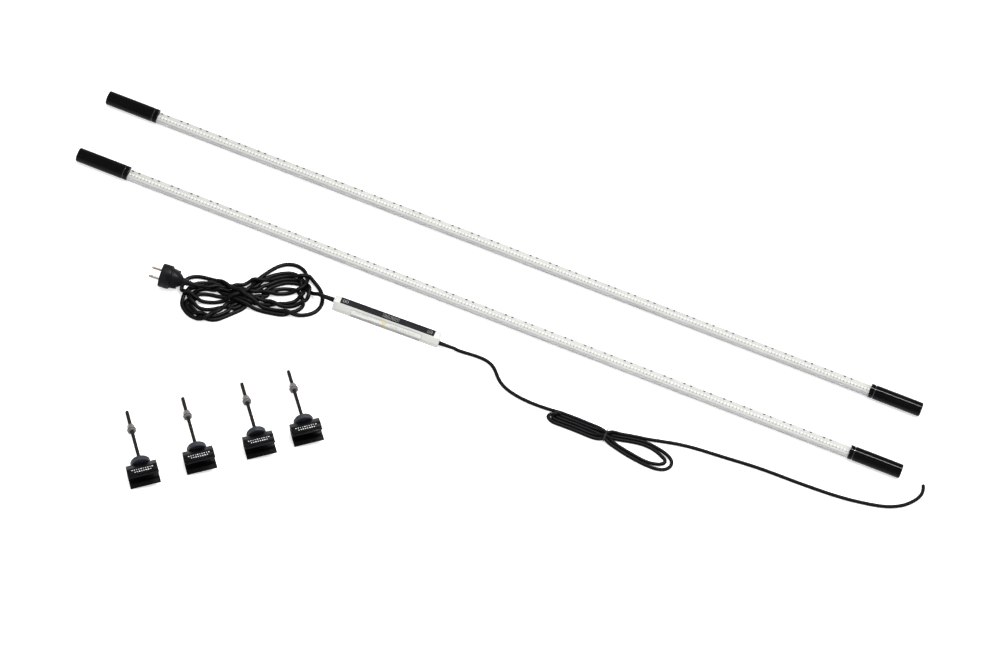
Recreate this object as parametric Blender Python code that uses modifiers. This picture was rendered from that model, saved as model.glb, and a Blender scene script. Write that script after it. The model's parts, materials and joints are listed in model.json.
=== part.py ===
"""LED grow light kit, laid out on a bench: two tube lights, a slim driver and four hanger clips.

The driver has a mains lead with a plug, and an output lead folded into a tied hank.
Units are metres, +Z is up.  The origin is on the bench, under the middle of the kit without
its leads, and +X runs along the tube lights.
"""

import math

import bmesh
import bpy
from mathutils import Euler, Vector

GAP = 0.0003
CLEAR_OF_BENCH = 0.0001

# Tube light
TUBE_LENGTH = 1.5
TUBE_DIAMETER = 0.024
TUBE_WALL = 0.0012
CAP_DIAMETER = 0.025
CAP_LENGTH = 0.085
CAP_RIM = 0.0018
CAP_WALL = 0.0045
SPIGOT_LENGTH = 0.007
SPIGOT_WALL = 0.003
GASKET_THICKNESS = 0.001
BOARD_WIDTH = 0.0168
BOARD_THICKNESS = 0.0012
BOARD_TOP = 0.00175
CARRIER_WALL = 0.0012
CARRIER_CLEARANCE = 0.0004
TERMINAL_SIZE = (0.02, 0.009, 0.008)
TUBE_PLACES = {"tube_1": (-0.0015, 0.3610), "tube_2": (0.0015, 0.2210)}

# Driver
DRIVER_PLACE = (-0.1455, 0.1248)
DRIVER_TURN = math.radians(1.6)
CASE_LENGTH = 0.1855
CASE_WIDTH = 0.0156
CASE_HEIGHT = 0.0253
CASE_WALL = 0.0012
CASE_CORNER = 0.0014
END_PLATE = 0.0018
NAMEPLATE_SIZE = (0.168, 0.0128, 0.0004)
CIRCUIT_BOARD_SIZE = (0.166, 0.0016, 0.0205)
CIRCUIT_BOARD_OFFSET = -0.0042
TRANSFORMER_SIZE = (0.022, 0.0072, 0.017)
CAPACITOR_RADIUS = 0.0038
CAPACITOR_LENGTH = 0.018
GLAND_LENGTH = 0.02

# Hanger clip, along its rod from the top of the clamp's saddle
CLAMP_LENGTH = 0.0505
CLAMP_INNER_RADIUS = 0.0122
CLAMP_WALL = 0.0024
SADDLE_DEPTH = 0.017
SADDLE_HALF_WIDTH = 0.009
CLAMP_WRAP = math.radians(128)
LIP_LENGTH = 0.0065
HUB_RADIUS = 0.0165
HUB_HEIGHT = 0.013
HUB_RIM_TOP = 0.0088
ROD_RADIUS = 0.003
ROD_START = 0.0026
ROD_END = 0.12
ROD_CLEARANCE = 0.00035
LOCK_NUT_FLATS = 0.01
LOCK_NUT_HEIGHT = 0.006
NUT_FLATS = 0.0105
NUT_START = 0.079
NUT_HEIGHT = 0.0095
NUT_FLANGE_RADIUS = 0.0075
NUT_FLANGE_HEIGHT = 0.003
WASHER_RADIUS = 0.0068
WASHER_THICKNESS = 0.0032
CLIP_TURN = math.radians(33)
CLIP_PLACES = {
    "clip_1": (-0.4052, -0.3336),
    "clip_2": (-0.3332, -0.2676),
    "clip_3": (-0.2562, -0.1966),
    "clip_4": (-0.1952, -0.1386),
}

# Leads
MAINS_DIAMETER = 0.007
OUTPUT_DIAMETER = 0.0056
MAINS_EXIT = (0.0018, 0.0165)
OUTPUT_EXIT = (-0.0014, 0.0075)
MAINS_HANK_HEIGHT = 0.018
OUTPUT_HANK_HEIGHT = 0.0118
TIE_WALL = 0.0012
TIE_WIDTH = 0.0035
TUBE_POINT_SPACING = 2.4

PLUG_PLACE = (-0.5225, 0.0390, 0.0206)
PLUG_TURN = math.radians(5)
PLUG_RADIUS = 0.0202
PLUG_LENGTH = 0.037
PLUG_RECESS_DEPTH = 0.004
PIN_RADIUS = 0.0024
PIN_LENGTH = 0.019
PIN_SPACING = 0.019
BOOT_LENGTH = 0.021

ALONG_X = Euler((math.pi / 2, 0, math.pi / 2))
ALONG_MINUS_X = Euler((0, -math.pi / 2, 0))
ALONG_Y = Euler((-math.pi / 2, 0, 0))

# Routes of the leads on the bench, in metres
MAINS_ROUTE_TO_HANK = [
    (-0.2650, 0.1233, 0.0165),
    (-0.2700, 0.1237, 0.0160),
    (-0.2760, 0.1247, 0.0150),
    (-0.2815, 0.1265, 0.0140),
]
MAINS_ROUTE_TO_PLUG = [
    (-0.4462, 0.0498, 0.0120),
    (-0.4500, 0.0509, 0.0140),
    (-0.4550, 0.0485, 0.0180),
    (-0.4600, 0.0447, 0.0203),
    (-0.4650, 0.0440, 0.0206),
]
MAINS_HANK_OUTLINE = [
    (-0.476, 0.0145),
    (-0.462, -0.0125),
    (-0.432, -0.0115),
    (-0.402, 0.0075),
    (-0.376, 0.0465),
    (-0.346, 0.0605),
    (-0.309, 0.0725),
    (-0.287, 0.0885),
    (-0.284, 0.1165),
    (-0.294, 0.1505),
    (-0.314, 0.1685),
    (-0.345, 0.1525),
    (-0.374, 0.1225),
    (-0.400, 0.0915),
    (-0.424, 0.0765),
    (-0.436, 0.0615),
    (-0.452, 0.0365),
]
OUTPUT_ROUTE_TO_HANK = [
    (-0.0297, 0.1266, 0.0075),
    (-0.0240, 0.1273, 0.0070),
    (-0.0140, 0.1290, 0.0044),
    (0.0020, 0.1307, 0.0029),
    (0.0200, 0.1315, 0.0029),
    (0.0400, 0.1295, 0.0029),
    (0.0530, 0.1225, 0.0029),
    (0.0610, 0.1105, 0.0029),
    (0.0700, 0.0985, 0.0029),
    (0.0850, 0.0895, 0.0029),
    (0.1080, 0.0820, 0.0029),
    (0.1350, 0.0770, 0.0029),
    (0.1560, 0.0730, 0.0029),
]
OUTPUT_ROUTE_TO_END = [
    (0.3580, 0.0995, 0.0029),
    (0.3720, 0.1075, 0.0029),
    (0.3890, 0.1135, 0.0029),
    (0.4200, 0.1175, 0.0029),
    (0.4580, 0.1205, 0.0029),
    (0.5280, 0.1265, 0.0029),
    (0.5990, 0.1275, 0.0029),
    (0.6700, 0.1305, 0.0029),
    (0.7200, 0.1395, 0.0029),
    (0.7500, 0.1475, 0.0029),
    (0.7760, 0.1645, 0.0029),
    (0.7930, 0.1875, 0.0029),
    (0.7990, 0.2045, 0.0029),
    (0.7930, 0.2185, 0.0029),
]
OUTPUT_HANK_OUTLINE = [
    (0.158, 0.0685),
    (0.166, 0.0545),
    (0.195, 0.0545),
    (0.235, 0.0615),
    (0.268, 0.0625),
    (0.300, 0.0525),
    (0.335, 0.0435),
    (0.368, 0.0445),
    (0.386, 0.0585),
    (0.386, 0.0765),
    (0.371, 0.0925),
    (0.345, 0.0965),
    (0.305, 0.0895),
    (0.268, 0.0825),
    (0.235, 0.0825),
    (0.195, 0.0825),
    (0.166, 0.0795),
]
TIE_PLACE = (0.268, 0.0725)
TIE_HALF_SPAN = 0.0116


def clear_scene():
    """Remove every object of the startup scene."""
    for obj in list(bpy.data.objects):
        bpy.data.objects.remove(obj, do_unlink=True)


def new_collection(name):
    """Make a collection in the scene and return it."""
    made = bpy.data.collections.new(name)
    bpy.context.scene.collection.children.link(made)
    return made


def make_material(name, colour, roughness, metallic=0.0, alpha=1.0):
    """A Principled material; the colour is linear RGB."""
    made = bpy.data.materials.new(name)
    made.use_nodes = True
    shader = made.node_tree.nodes["Principled BSDF"]
    shader.inputs["Base Color"].default_value = (*colour, 1.0)
    shader.inputs["Roughness"].default_value = roughness
    shader.inputs["Metallic"].default_value = metallic
    shader.inputs["Alpha"].default_value = alpha
    return made


def make_materials():
    """Every finish of the kit, by name."""
    finishes = {
        "clear_cover": ((0.80, 0.84, 0.85), 0.12, 0.0, 0.35),
        "aluminium_carrier": ((0.62, 0.62, 0.63), 0.35, 1.0),
        "led_board": ((0.85, 0.87, 0.86), 0.45),
        "black_cap": ((0.010, 0.010, 0.011), 0.18),
        "clear_gasket": ((0.55, 0.56, 0.57), 0.40),
        "terminal_block": ((0.10, 0.28, 0.12), 0.45),
        "driver_case": ((0.62, 0.62, 0.60), 0.40, 0.9),
        "driver_end": ((0.76, 0.76, 0.74), 0.45),
        "circuit_board": ((0.02, 0.12, 0.04), 0.50),
        "transformer_core": ((0.05, 0.05, 0.05), 0.60),
        "capacitor_can": ((0.02, 0.03, 0.06), 0.35),
        "nameplate": ((0.022, 0.023, 0.026), 0.45),
        "clamp_plastic": ((0.006, 0.006, 0.008), 0.15),
        "hub_plastic": ((0.022, 0.030, 0.045), 0.50),
        "black_steel": ((0.030, 0.028, 0.026), 0.35, 0.8),
        "zinc_steel": ((0.30, 0.29, 0.28), 0.35, 1.0),
        "washer_rubber": ((0.012, 0.012, 0.012), 0.70),
        "lead_jacket": ((0.010, 0.010, 0.010), 0.45),
        "plug_rubber": ((0.012, 0.012, 0.014), 0.50),
        "pin_nickel": ((0.55, 0.52, 0.48), 0.25, 1.0),
        "tie_wire": ((0.012, 0.012, 0.012), 0.50),
    }
    return {name: make_material(name, *values) for name, values in finishes.items()}


def link(name, data, collection, material, place=(0, 0, 0), turn=None, parent=None):
    """Make an object from its data, put it in the collection and place it."""
    obj = bpy.data.objects.new(name, data)
    collection.objects.link(obj)
    if material is not None and not data.materials:
        data.materials.append(material)
    obj.location = place
    if turn is not None:
        obj.rotation_euler = turn
    obj.parent = parent
    return obj


def profile_mesh(name, profile, closed):
    """A mesh of edges through (radius, height) points, for a Screw modifier."""
    mesh = bpy.data.meshes.new(name)
    points = [(radius, 0, height) for radius, height in profile]
    edges = [(i, i + 1) for i in range(len(points) - 1)]
    if closed:
        edges.append((len(points) - 1, 0))
    mesh.from_pydata(points, edges, [])
    return mesh


def turned(name, profile, segments, closed=False):
    """The finished mesh of a profile turned about Z; the profile runs down its outer side."""
    scratch = bpy.data.objects.new(name, profile_mesh(name, profile, closed))
    bpy.context.scene.collection.objects.link(scratch)
    screw = scratch.modifiers.new("turn", "SCREW")
    screw.steps = segments
    screw.render_steps = segments
    screw.use_merge_vertices = True
    screw.merge_threshold = 0.00001
    return finished_mesh(scratch)


def finished_mesh(scratch):
    """The object's evaluated mesh with its doubles merged; the object itself is removed."""
    bpy.context.view_layer.update()
    graph = bpy.context.evaluated_depsgraph_get()
    mesh = bpy.data.meshes.new_from_object(scratch.evaluated_get(graph))
    mesh.name = scratch.name
    bpy.data.objects.remove(scratch, do_unlink=True)
    bm = bmesh.new()
    bm.from_mesh(mesh)
    bmesh.ops.remove_doubles(bm, verts=bm.verts, dist=0.000001)
    bm.to_mesh(mesh)
    bm.free()
    mesh.materials.clear()
    mesh.shade_smooth()
    mesh.set_sharp_from_angle(angle=math.radians(35))
    return mesh


def extruded(name, outlines, thickness):
    """The mesh of a flat outline, with holes, drawn in XY and given its thickness along Z."""
    curve = bpy.data.curves.new(name, "CURVE")
    curve.dimensions = "2D"
    curve.fill_mode = "BOTH"
    curve.extrude = thickness / 2
    for outline in outlines:
        spline = curve.splines.new("POLY")
        spline.points.add(len(outline) - 1)
        for point, (x, y) in zip(spline.points, outline):
            point.co = (x, y, 0, 1)
        spline.use_cyclic_u = True
    scratch = bpy.data.objects.new(name, curve)
    bpy.context.scene.collection.objects.link(scratch)
    return finished_mesh(scratch)


def box_mesh(name, size, bevel=0.0):
    """A box about its own centre, with its edges bevelled once where asked."""
    bm = bmesh.new()
    bmesh.ops.create_cube(bm, size=1.0)
    bmesh.ops.scale(bm, vec=size, verts=bm.verts)
    if bevel:
        bmesh.ops.bevel(
            bm, geom=bm.edges[:], offset=bevel, segments=1, affect="EDGES", profile=0.5
        )
    mesh = bpy.data.meshes.new(name)
    bm.to_mesh(mesh)
    bm.free()
    return mesh


def arc(centre, radius, start, end, steps):
    """Points along an arc, both ends included; angles in radians."""
    turns = [start + (end - start) * i / steps for i in range(steps + 1)]
    return [(centre[0] + radius * math.cos(a), centre[1] + radius * math.sin(a)) for a in turns]


def circle(radius, steps, centre=(0, 0)):
    """Points round a circle."""
    return arc(centre, radius, 0, 2 * math.pi, steps)[:-1]


def rounded_rectangle(width, height, corner, steps=3):
    """Points round a rectangle about the origin, with round corners."""
    points = []
    for quarter, (sx, sy) in enumerate(((1, 1), (-1, 1), (-1, -1), (1, -1))):
        centre = (sx * (width / 2 - corner), sy * (height / 2 - corner))
        start = quarter * math.pi / 2
        points += arc(centre, corner, start, start + math.pi / 2, steps)
    return points


def catmull_rom(points, steps, closed=False):
    """A smooth curve through the points, with the given number of steps between neighbours."""
    known = [Vector(p) for p in points]
    if closed:
        known = [known[-1], *known, known[0], known[1]]
    else:
        known = [2 * known[0] - known[1], *known, 2 * known[-1] - known[-2]]
    made = []
    for a, b, c, d in zip(known, known[1:], known[2:], known[3:]):
        for i in range(steps):
            t = i / steps
            made.append(
                0.5
                * (
                    2 * b
                    + (c - a) * t
                    + (2 * a - 5 * b + 4 * c - d) * t**2
                    + (3 * b - a - 3 * c + d) * t**3
                )
            )
    if not closed:
        made.append(known[-2])
    return made


def evenly_spaced(points, spacing):
    """Points along a path at about the given spacing, with both ends kept."""
    lengths = [0.0]
    for a, b in zip(points, points[1:]):
        lengths.append(lengths[-1] + (b - a).length)
    count = max(3, round(lengths[-1] / spacing))
    made = []
    i = 0
    for k in range(count + 1):
        wanted = lengths[-1] * k / count
        while i < len(points) - 2 and lengths[i + 1] < wanted:
            i += 1
        share = (wanted - lengths[i]) / max(lengths[i + 1] - lengths[i], 1e-9)
        made.append(points[i].lerp(points[i + 1], min(share, 1.0)))
    return made


def lead_tube(name, route, diameter, collection, material):
    """A plain tube along a lead's route, as a bevelled POLY curve with filled caps."""
    smooth = catmull_rom(route, 12)
    points = evenly_spaced(smooth, TUBE_POINT_SPACING * diameter)
    curve = bpy.data.curves.new(name, "CURVE")
    curve.dimensions = "3D"
    curve.bevel_depth = diameter / 2
    curve.bevel_resolution = 2
    curve.use_fill_caps = True
    spline = curve.splines.new("POLY")
    spline.points.add(len(points) - 1)
    for point, place in zip(spline.points, points):
        point.co = (*place, 1)
    return link(name, curve, collection, material)


def hank_solid(name, outline, height, lift, collection, material):
    """The outer shape of a hank: its outline on the bench, as high as its strands lie."""
    around = [(p.x, p.y) for p in catmull_rom([(x, y, 0) for x, y in outline], 2, closed=True)]
    mesh = extruded(name, [around], height)
    return link(name, mesh, collection, material, place=(0, 0, height / 2 + lift))


def cap_mesh():
    """A tube light's end cap, with its closed end at the top, its spigot below and a bore."""
    radius = CAP_DIAMETER / 2
    spigot = TUBE_DIAMETER / 2 - TUBE_WALL - GAP
    top = CAP_LENGTH + GASKET_THICKNESS + 2 * GAP
    shoulder = GASKET_THICKNESS + 2 * GAP
    rim = arc((radius - CAP_RIM, top - CAP_RIM), CAP_RIM, math.pi / 2, 0, 3)
    profile = [
        (0, top),
        *rim,
        (radius, shoulder),
        (spigot, shoulder),
        (spigot, -SPIGOT_LENGTH),
        (spigot - SPIGOT_WALL, -SPIGOT_LENGTH),
        (spigot - SPIGOT_WALL, top - CAP_WALL),
        (0, top - CAP_WALL),
    ]
    return turned("end_cap", profile, 24)


def ring_mesh(name, outer, inner, thickness, segments):
    """A flat ring standing on the origin."""
    profile = [(outer, thickness), (outer, 0), (inner, 0), (inner, thickness)]
    return turned(name, profile, segments, closed=True)


def carrier_outlines():
    """The D-shaped carrier's section: a hollow half round under a flat top, in the tube's YZ."""
    radius = TUBE_DIAMETER / 2 - TUBE_WALL - CARRIER_CLEARANCE
    top = BOARD_TOP - BOARD_THICKNESS - GAP
    start = math.asin(top / radius)
    outer = arc((0, 0), radius, start, -math.pi - start, 16)
    inner_radius = radius - CARRIER_WALL
    inner_top = top - CARRIER_WALL
    inner_start = math.asin(inner_top / inner_radius)
    inner = arc((0, 0), inner_radius, inner_start, -math.pi - inner_start, 14)
    return [outer, inner]


def build_tube_lights(collection, materials):
    """Both tube lights: cover, carrier, LED board, terminal, and a cap and gasket at each end."""
    cover_length = TUBE_LENGTH - 2 * (CAP_LENGTH + GASKET_THICKNESS + 2 * GAP)
    inside_length = cover_length - 2 * (SPIGOT_LENGTH + GAP)
    cover = ring_mesh(
        "cover", TUBE_DIAMETER / 2, TUBE_DIAMETER / 2 - TUBE_WALL, cover_length, 32
    )
    carrier = extruded("carrier", carrier_outlines(), inside_length)
    board = box_mesh("board", (inside_length, BOARD_WIDTH, BOARD_THICKNESS))
    cap = cap_mesh()
    gasket = ring_mesh(
        "gasket", TUBE_DIAMETER / 2 + 0.0001, TUBE_DIAMETER / 2 - TUBE_WALL, GASKET_THICKNESS, 24
    )
    terminal = box_mesh("terminal", TERMINAL_SIZE, 0.0008)
    for name, (x, y) in TUBE_PLACES.items():
        empty = link(name, None, collection, None, place=(x, y, CAP_DIAMETER / 2))
        pieces = (
            ("cover", cover, "clear_cover", (-cover_length / 2, 0, 0), ALONG_X),
            ("carrier", carrier, "aluminium_carrier", (0, 0, 0), ALONG_X),
            (
                "led_board",
                board,
                "led_board",
                (0, 0, BOARD_TOP - BOARD_THICKNESS / 2),
                None,
            ),
            ("cap_right", cap, "black_cap", (cover_length / 2, 0, 0), ALONG_X),
            ("cap_left", cap, "black_cap", (-cover_length / 2, 0, 0), ALONG_MINUS_X),
            ("gasket_right", gasket, "clear_gasket", (cover_length / 2 + GAP, 0, 0), ALONG_X),
            (
                "gasket_left",
                gasket,
                "clear_gasket",
                (-cover_length / 2 - GAP, 0, 0),
                ALONG_MINUS_X,
            ),
            (
                "terminal",
                terminal,
                "terminal_block",
                (-cover_length / 2 - CAP_LENGTH / 2, 0, 0),
                None,
            ),
        )
        for piece, mesh, finish, place, turn in pieces:
            link(f"{name}_{piece}", mesh, collection, materials[finish], place, turn, empty)


def end_plate_mesh(name, hole_place, hole_radius):
    """A driver end plate with its lead hole, drawn in the driver's YZ."""
    outline = rounded_rectangle(CASE_WIDTH, CASE_HEIGHT, CASE_CORNER)
    return extruded(name, [outline, circle(hole_radius, 16, hole_place)], END_PLATE)


def gland_mesh(name, neck, lead_radius):
    """A rubber gland: a flange inside, a neck through the end plate and a tapered sleeve."""
    plate = END_PLATE + 2 * GAP
    profile = [
        (0, plate + GLAND_LENGTH),
        (lead_radius + 0.0003, plate + GLAND_LENGTH),
        (lead_radius + 0.0012, plate + 0.002),
        (lead_radius + 0.0013, plate),
        (neck, plate),
        (neck, -2 * GAP),
        (neck + 0.0009, -2 * GAP),
        (neck + 0.0009, -2 * GAP - 0.0015),
        (0, -2 * GAP - 0.0015),
    ]
    return turned(name, profile, 16)


def build_driver(collection, materials):
    """The driver: case, end plates, what is inside, the nameplate and both lead glands."""
    empty = link("driver", None, collection, None, place=(*DRIVER_PLACE, 0))
    empty.rotation_euler = (0, 0, DRIVER_TURN)
    middle = CASE_HEIGHT / 2
    outline = rounded_rectangle(CASE_WIDTH, CASE_HEIGHT, CASE_CORNER)
    hollow = rounded_rectangle(
        CASE_WIDTH - 2 * CASE_WALL, CASE_HEIGHT - 2 * CASE_WALL, CASE_CORNER - 0.0004
    )
    case = extruded("case", [outline, hollow], CASE_LENGTH)
    link("driver_case", case, collection, materials["driver_case"], (0, 0, middle), ALONG_X, empty)

    plate_place = CASE_LENGTH / 2 + GAP + END_PLATE / 2
    glands = (
        ("left", "inlet", -1, MAINS_EXIT, MAINS_DIAMETER / 2, 0.0031),
        ("right", "outlet", 1, OUTPUT_EXIT, OUTPUT_DIAMETER / 2, 0.0027),
    )
    for side, lead, sign, (across, height), lead_radius, neck in glands:
        hole = (across, height - middle)
        plate = end_plate_mesh(f"end_plate_{side}", hole, neck + GAP)
        link(
            f"driver_end_{side}",
            plate,
            collection,
            materials["driver_end"],
            (sign * plate_place, 0, middle),
            ALONG_X,
            empty,
        )
        gland = gland_mesh(f"gland_{lead}", neck, lead_radius)
        link(
            f"{lead}_gland",
            gland,
            collection,
            materials["plug_rubber"],
            (sign * (CASE_LENGTH / 2), across, height),
            ALONG_X if sign > 0 else ALONG_MINUS_X,
            empty,
        )

    board = box_mesh("circuit_board", CIRCUIT_BOARD_SIZE)
    link(
        "driver_circuit_board",
        board,
        collection,
        materials["circuit_board"],
        (0, CIRCUIT_BOARD_OFFSET, middle),
        None,
        empty,
    )
    inside_y = CIRCUIT_BOARD_OFFSET + CIRCUIT_BOARD_SIZE[1] / 2 + GAP
    transformer = box_mesh("transformer", TRANSFORMER_SIZE, 0.0008)
    link(
        "driver_transformer",
        transformer,
        collection,
        materials["transformer_core"],
        (0.02, inside_y + TRANSFORMER_SIZE[1] / 2, middle),
        None,
        empty,
    )
    can = [
        (0, CAPACITOR_LENGTH),
        (CAPACITOR_RADIUS - 0.0006, CAPACITOR_LENGTH),
        (CAPACITOR_RADIUS, CAPACITOR_LENGTH - 0.0006),
        (CAPACITOR_RADIUS, 0),
        (0, 0),
    ]
    link(
        "driver_capacitor",
        turned("capacitor", can, 16),
        collection,
        materials["capacitor_can"],
        (-0.06, inside_y + CAPACITOR_RADIUS, middle),
        ALONG_X,
        empty,
    )
    nameplate = box_mesh("nameplate", NAMEPLATE_SIZE)
    link(
        "driver_nameplate",
        nameplate,
        collection,
        materials["nameplate"],
        (0, 0, CASE_HEIGHT + GAP + NAMEPLATE_SIZE[2] / 2),
        None,
        empty,
    )


def clamp_outline():
    """The clamp's C section: x away from its mouth along the rod, y across it."""
    centre = (-SADDLE_DEPTH, 0)
    outer = CLAMP_INNER_RADIUS + CLAMP_WALL
    inner = CLAMP_INNER_RADIUS
    outer_end = CLAMP_WRAP - math.radians(3)
    lip_x = -SADDLE_DEPTH + inner * math.cos(CLAMP_WRAP) - LIP_LENGTH
    left = [
        (0, SADDLE_HALF_WIDTH),
        *arc(centre, outer, math.radians(58), outer_end, 8),
        (lip_x + 0.0006, outer * 0.97),
        (lip_x, outer * 0.88),
        *arc(centre, inner, CLAMP_WRAP, 0, 9),
    ]
    right = [(x, -y) for x, y in reversed(left[:-1])]
    return left + right


def hub_mesh():
    """The round hub on the clamp's saddle, with the rod's blind hole in its far face."""
    hole = ROD_RADIUS + ROD_CLEARANCE
    profile = [
        (0, ROD_START - GAP),
        (hole, ROD_START - GAP),
        (hole, HUB_HEIGHT),
        (0.0072, HUB_HEIGHT),
        (HUB_RADIUS - 0.0012, HUB_RIM_TOP + 0.0012),
        (HUB_RADIUS, HUB_RIM_TOP),
        (HUB_RADIUS, 0.0014),
        (HUB_RADIUS - 0.001, GAP),
        (0, GAP),
    ]
    return turned("hub", profile, 24)


def hexagon(flats):
    """Points round a hexagon, by its distance across the flats."""
    return circle(flats / math.sqrt(3), 6)


def lock_nut_mesh():
    """The hexagonal nut that locks the rod against the hub."""
    hole = circle(ROD_RADIUS + ROD_CLEARANCE, 12)
    return extruded("lock_nut", [hexagon(LOCK_NUT_FLATS), hole], LOCK_NUT_HEIGHT)


def flange_nut_mesh(cutters):
    """The running nut: a hexagon joined to a cone-shaped flange, with the rod's hole cut out."""
    bm = bmesh.new()
    bmesh.ops.create_cone(
        bm,
        cap_ends=True,
        segments=6,
        radius1=NUT_FLATS / math.sqrt(3),
        radius2=NUT_FLATS / math.sqrt(3),
        depth=NUT_HEIGHT - 0.001,
    )
    bmesh.ops.translate(bm, vec=(0, 0, NUT_HEIGHT / 2 + 0.0005), verts=bm.verts)
    body = bpy.data.meshes.new("nut")
    bm.to_mesh(body)
    bm.free()
    flange = [
        (0, NUT_FLANGE_HEIGHT),
        (NUT_FLATS / 2, NUT_FLANGE_HEIGHT),
        (NUT_FLANGE_RADIUS, 0.0012),
        (NUT_FLANGE_RADIUS, 0),
        (0, 0),
    ]
    hole_radius = ROD_RADIUS + ROD_CLEARANCE
    hole = [(0, 0.02), (hole_radius, 0.02), (hole_radius, -0.01), (0, -0.01)]
    scratch = bpy.data.objects.new("nut", body)
    bpy.context.scene.collection.objects.link(scratch)
    tools = (("flange", flange, 20, "UNION"), ("hole", hole, 12, "DIFFERENCE"))
    for name, profile, segments, operation in tools:
        cutter = link(f"nut_{name}_cutter", turned(name, profile, segments), cutters, None)
        cutter.hide_render = True
        cutter.display_type = "WIRE"
        boolean = scratch.modifiers.new(name, "BOOLEAN")
        boolean.operation = operation
        boolean.solver = "EXACT"
        boolean.object = cutter
    return finished_mesh(scratch)


def rod_mesh():
    """The hanging rod, with a chamfer at its tip."""
    profile = [
        (0, ROD_END),
        (ROD_RADIUS - 0.0007, ROD_END),
        (ROD_RADIUS, ROD_END - 0.0007),
        (ROD_RADIUS, ROD_START),
        (0, ROD_START),
    ]
    return turned("rod", profile, 12)


def clip_pose():
    """(dip, roll, height) of a clip resting on its hub rim, rod tip and a clamp corner."""
    dip = math.atan((HUB_RADIUS - ROD_RADIUS) / (ROD_END - HUB_RIM_TOP))
    height = HUB_RADIUS * math.cos(dip) + HUB_RIM_TOP * math.sin(dip)
    over_clamp = height + SADDLE_DEPTH * math.sin(dip)
    half_length = CLAMP_LENGTH / 2
    half_width = CLAMP_INNER_RADIUS + CLAMP_WALL
    reach = math.hypot(half_length, half_width)
    roll = math.asin(over_clamp / reach) - math.atan2(half_width, half_length)
    return dip, roll, height + CLEAR_OF_BENCH


def build_clips(collection, cutters, materials):
    """The four hanger clips: clamp, hub, lock nut, threaded rod, and a nut with its washer."""
    dip, roll, height = clip_pose()
    lock_place = HUB_HEIGHT + GAP + LOCK_NUT_HEIGHT / 2
    hole = ROD_RADIUS + ROD_CLEARANCE
    clamp = extruded("clamp", [clamp_outline()], CLAMP_LENGTH)
    washer = ring_mesh("washer", WASHER_RADIUS, hole, WASHER_THICKNESS, 16)
    pieces = (
        ("clamp", clamp, "clamp_plastic", 0, ALONG_X),
        ("hub", hub_mesh(), "hub_plastic", 0, ALONG_Y),
        ("lock_nut", lock_nut_mesh(), "black_steel", lock_place, ALONG_Y),
        ("rod", rod_mesh(), "black_steel", 0, ALONG_Y),
        ("nut", flange_nut_mesh(cutters), "zinc_steel", NUT_START, ALONG_Y),
        ("washer", washer, "washer_rubber", NUT_START - WASHER_THICKNESS - GAP, ALONG_Y),
    )
    for name, (x, y) in CLIP_PLACES.items():
        empty = link(name, None, collection, None, place=(x, y, height))
        empty.rotation_mode = "YXZ"
        empty.rotation_euler = Euler((-dip, -roll, CLIP_TURN), "YXZ")
        for piece, mesh, finish, along, turn in pieces:
            place = (0, along, 0)
            link(f"{name}_{piece}", mesh, collection, materials[finish], place, turn, empty)


def plug_body_mesh():
    """The round plug: a recessed face at the top, a drum, and a grip stepped down to the boot."""
    profile = [
        (0, -PLUG_RECESS_DEPTH),
        (PLUG_RADIUS - 0.0032, -PLUG_RECESS_DEPTH),
        (PLUG_RADIUS - 0.0026, 0),
        (PLUG_RADIUS - 0.0008, 0),
        (PLUG_RADIUS, -0.0012),
        (PLUG_RADIUS, -0.0165),
        (PLUG_RADIUS - 0.0014, -0.0185),
        (0.0172, -0.0185),
        (0.0162, -0.0250),
        (0.0120, -0.0325),
        (0.0078, -PLUG_LENGTH),
        (0, -PLUG_LENGTH),
    ]
    return turned("plug_body", profile, 24)


def boot_mesh():
    """The plug's tapered strain relief, with its ribs."""
    ribs = 5
    start, end = 0.0066, MAINS_DIAMETER / 2 + 0.0006
    pitch = BOOT_LENGTH / ribs
    profile = [(0, 0)]
    for i in range(ribs):
        radius = start + (end - start) * i / (ribs - 1)
        profile += [(radius, -i * pitch), (radius, -(i + 0.62) * pitch)]
        if i < ribs - 1:
            groove = radius - 0.001
            profile += [(groove, -(i + 0.66) * pitch), (groove, -(i + 0.96) * pitch)]
    profile.append((0, -(ribs - 0.38) * pitch))
    return turned("boot", profile, 16)


def build_plug(collection, materials):
    """The plug at the mains lead's end: body, two pins and the ribbed boot."""
    empty = link("plug", None, collection, None, place=PLUG_PLACE)
    empty.rotation_euler = (0, 0, PLUG_TURN)
    body = plug_body_mesh()
    link("plug_body", body, collection, materials["plug_rubber"], (0, 0, 0), ALONG_MINUS_X, empty)
    pin = [
        (0, PIN_LENGTH),
        (PIN_RADIUS - 0.0008, PIN_LENGTH),
        (PIN_RADIUS, PIN_LENGTH - 0.0014),
        (PIN_RADIUS, -PLUG_RECESS_DEPTH + GAP),
        (0, -PLUG_RECESS_DEPTH + GAP),
    ]
    pin_mesh = turned("pin", pin, 12)
    for number, side in ((1, -1), (2, 1)):
        place = (0, side * PIN_SPACING / 2, 0)
        name = f"plug_pin_{number}"
        link(name, pin_mesh, collection, materials["pin_nickel"], place, ALONG_MINUS_X, empty)
    place = (PLUG_LENGTH + GAP, 0, 0)
    boot = boot_mesh()
    link("plug_boot", boot, collection, materials["plug_rubber"], place, ALONG_MINUS_X, empty)


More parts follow.
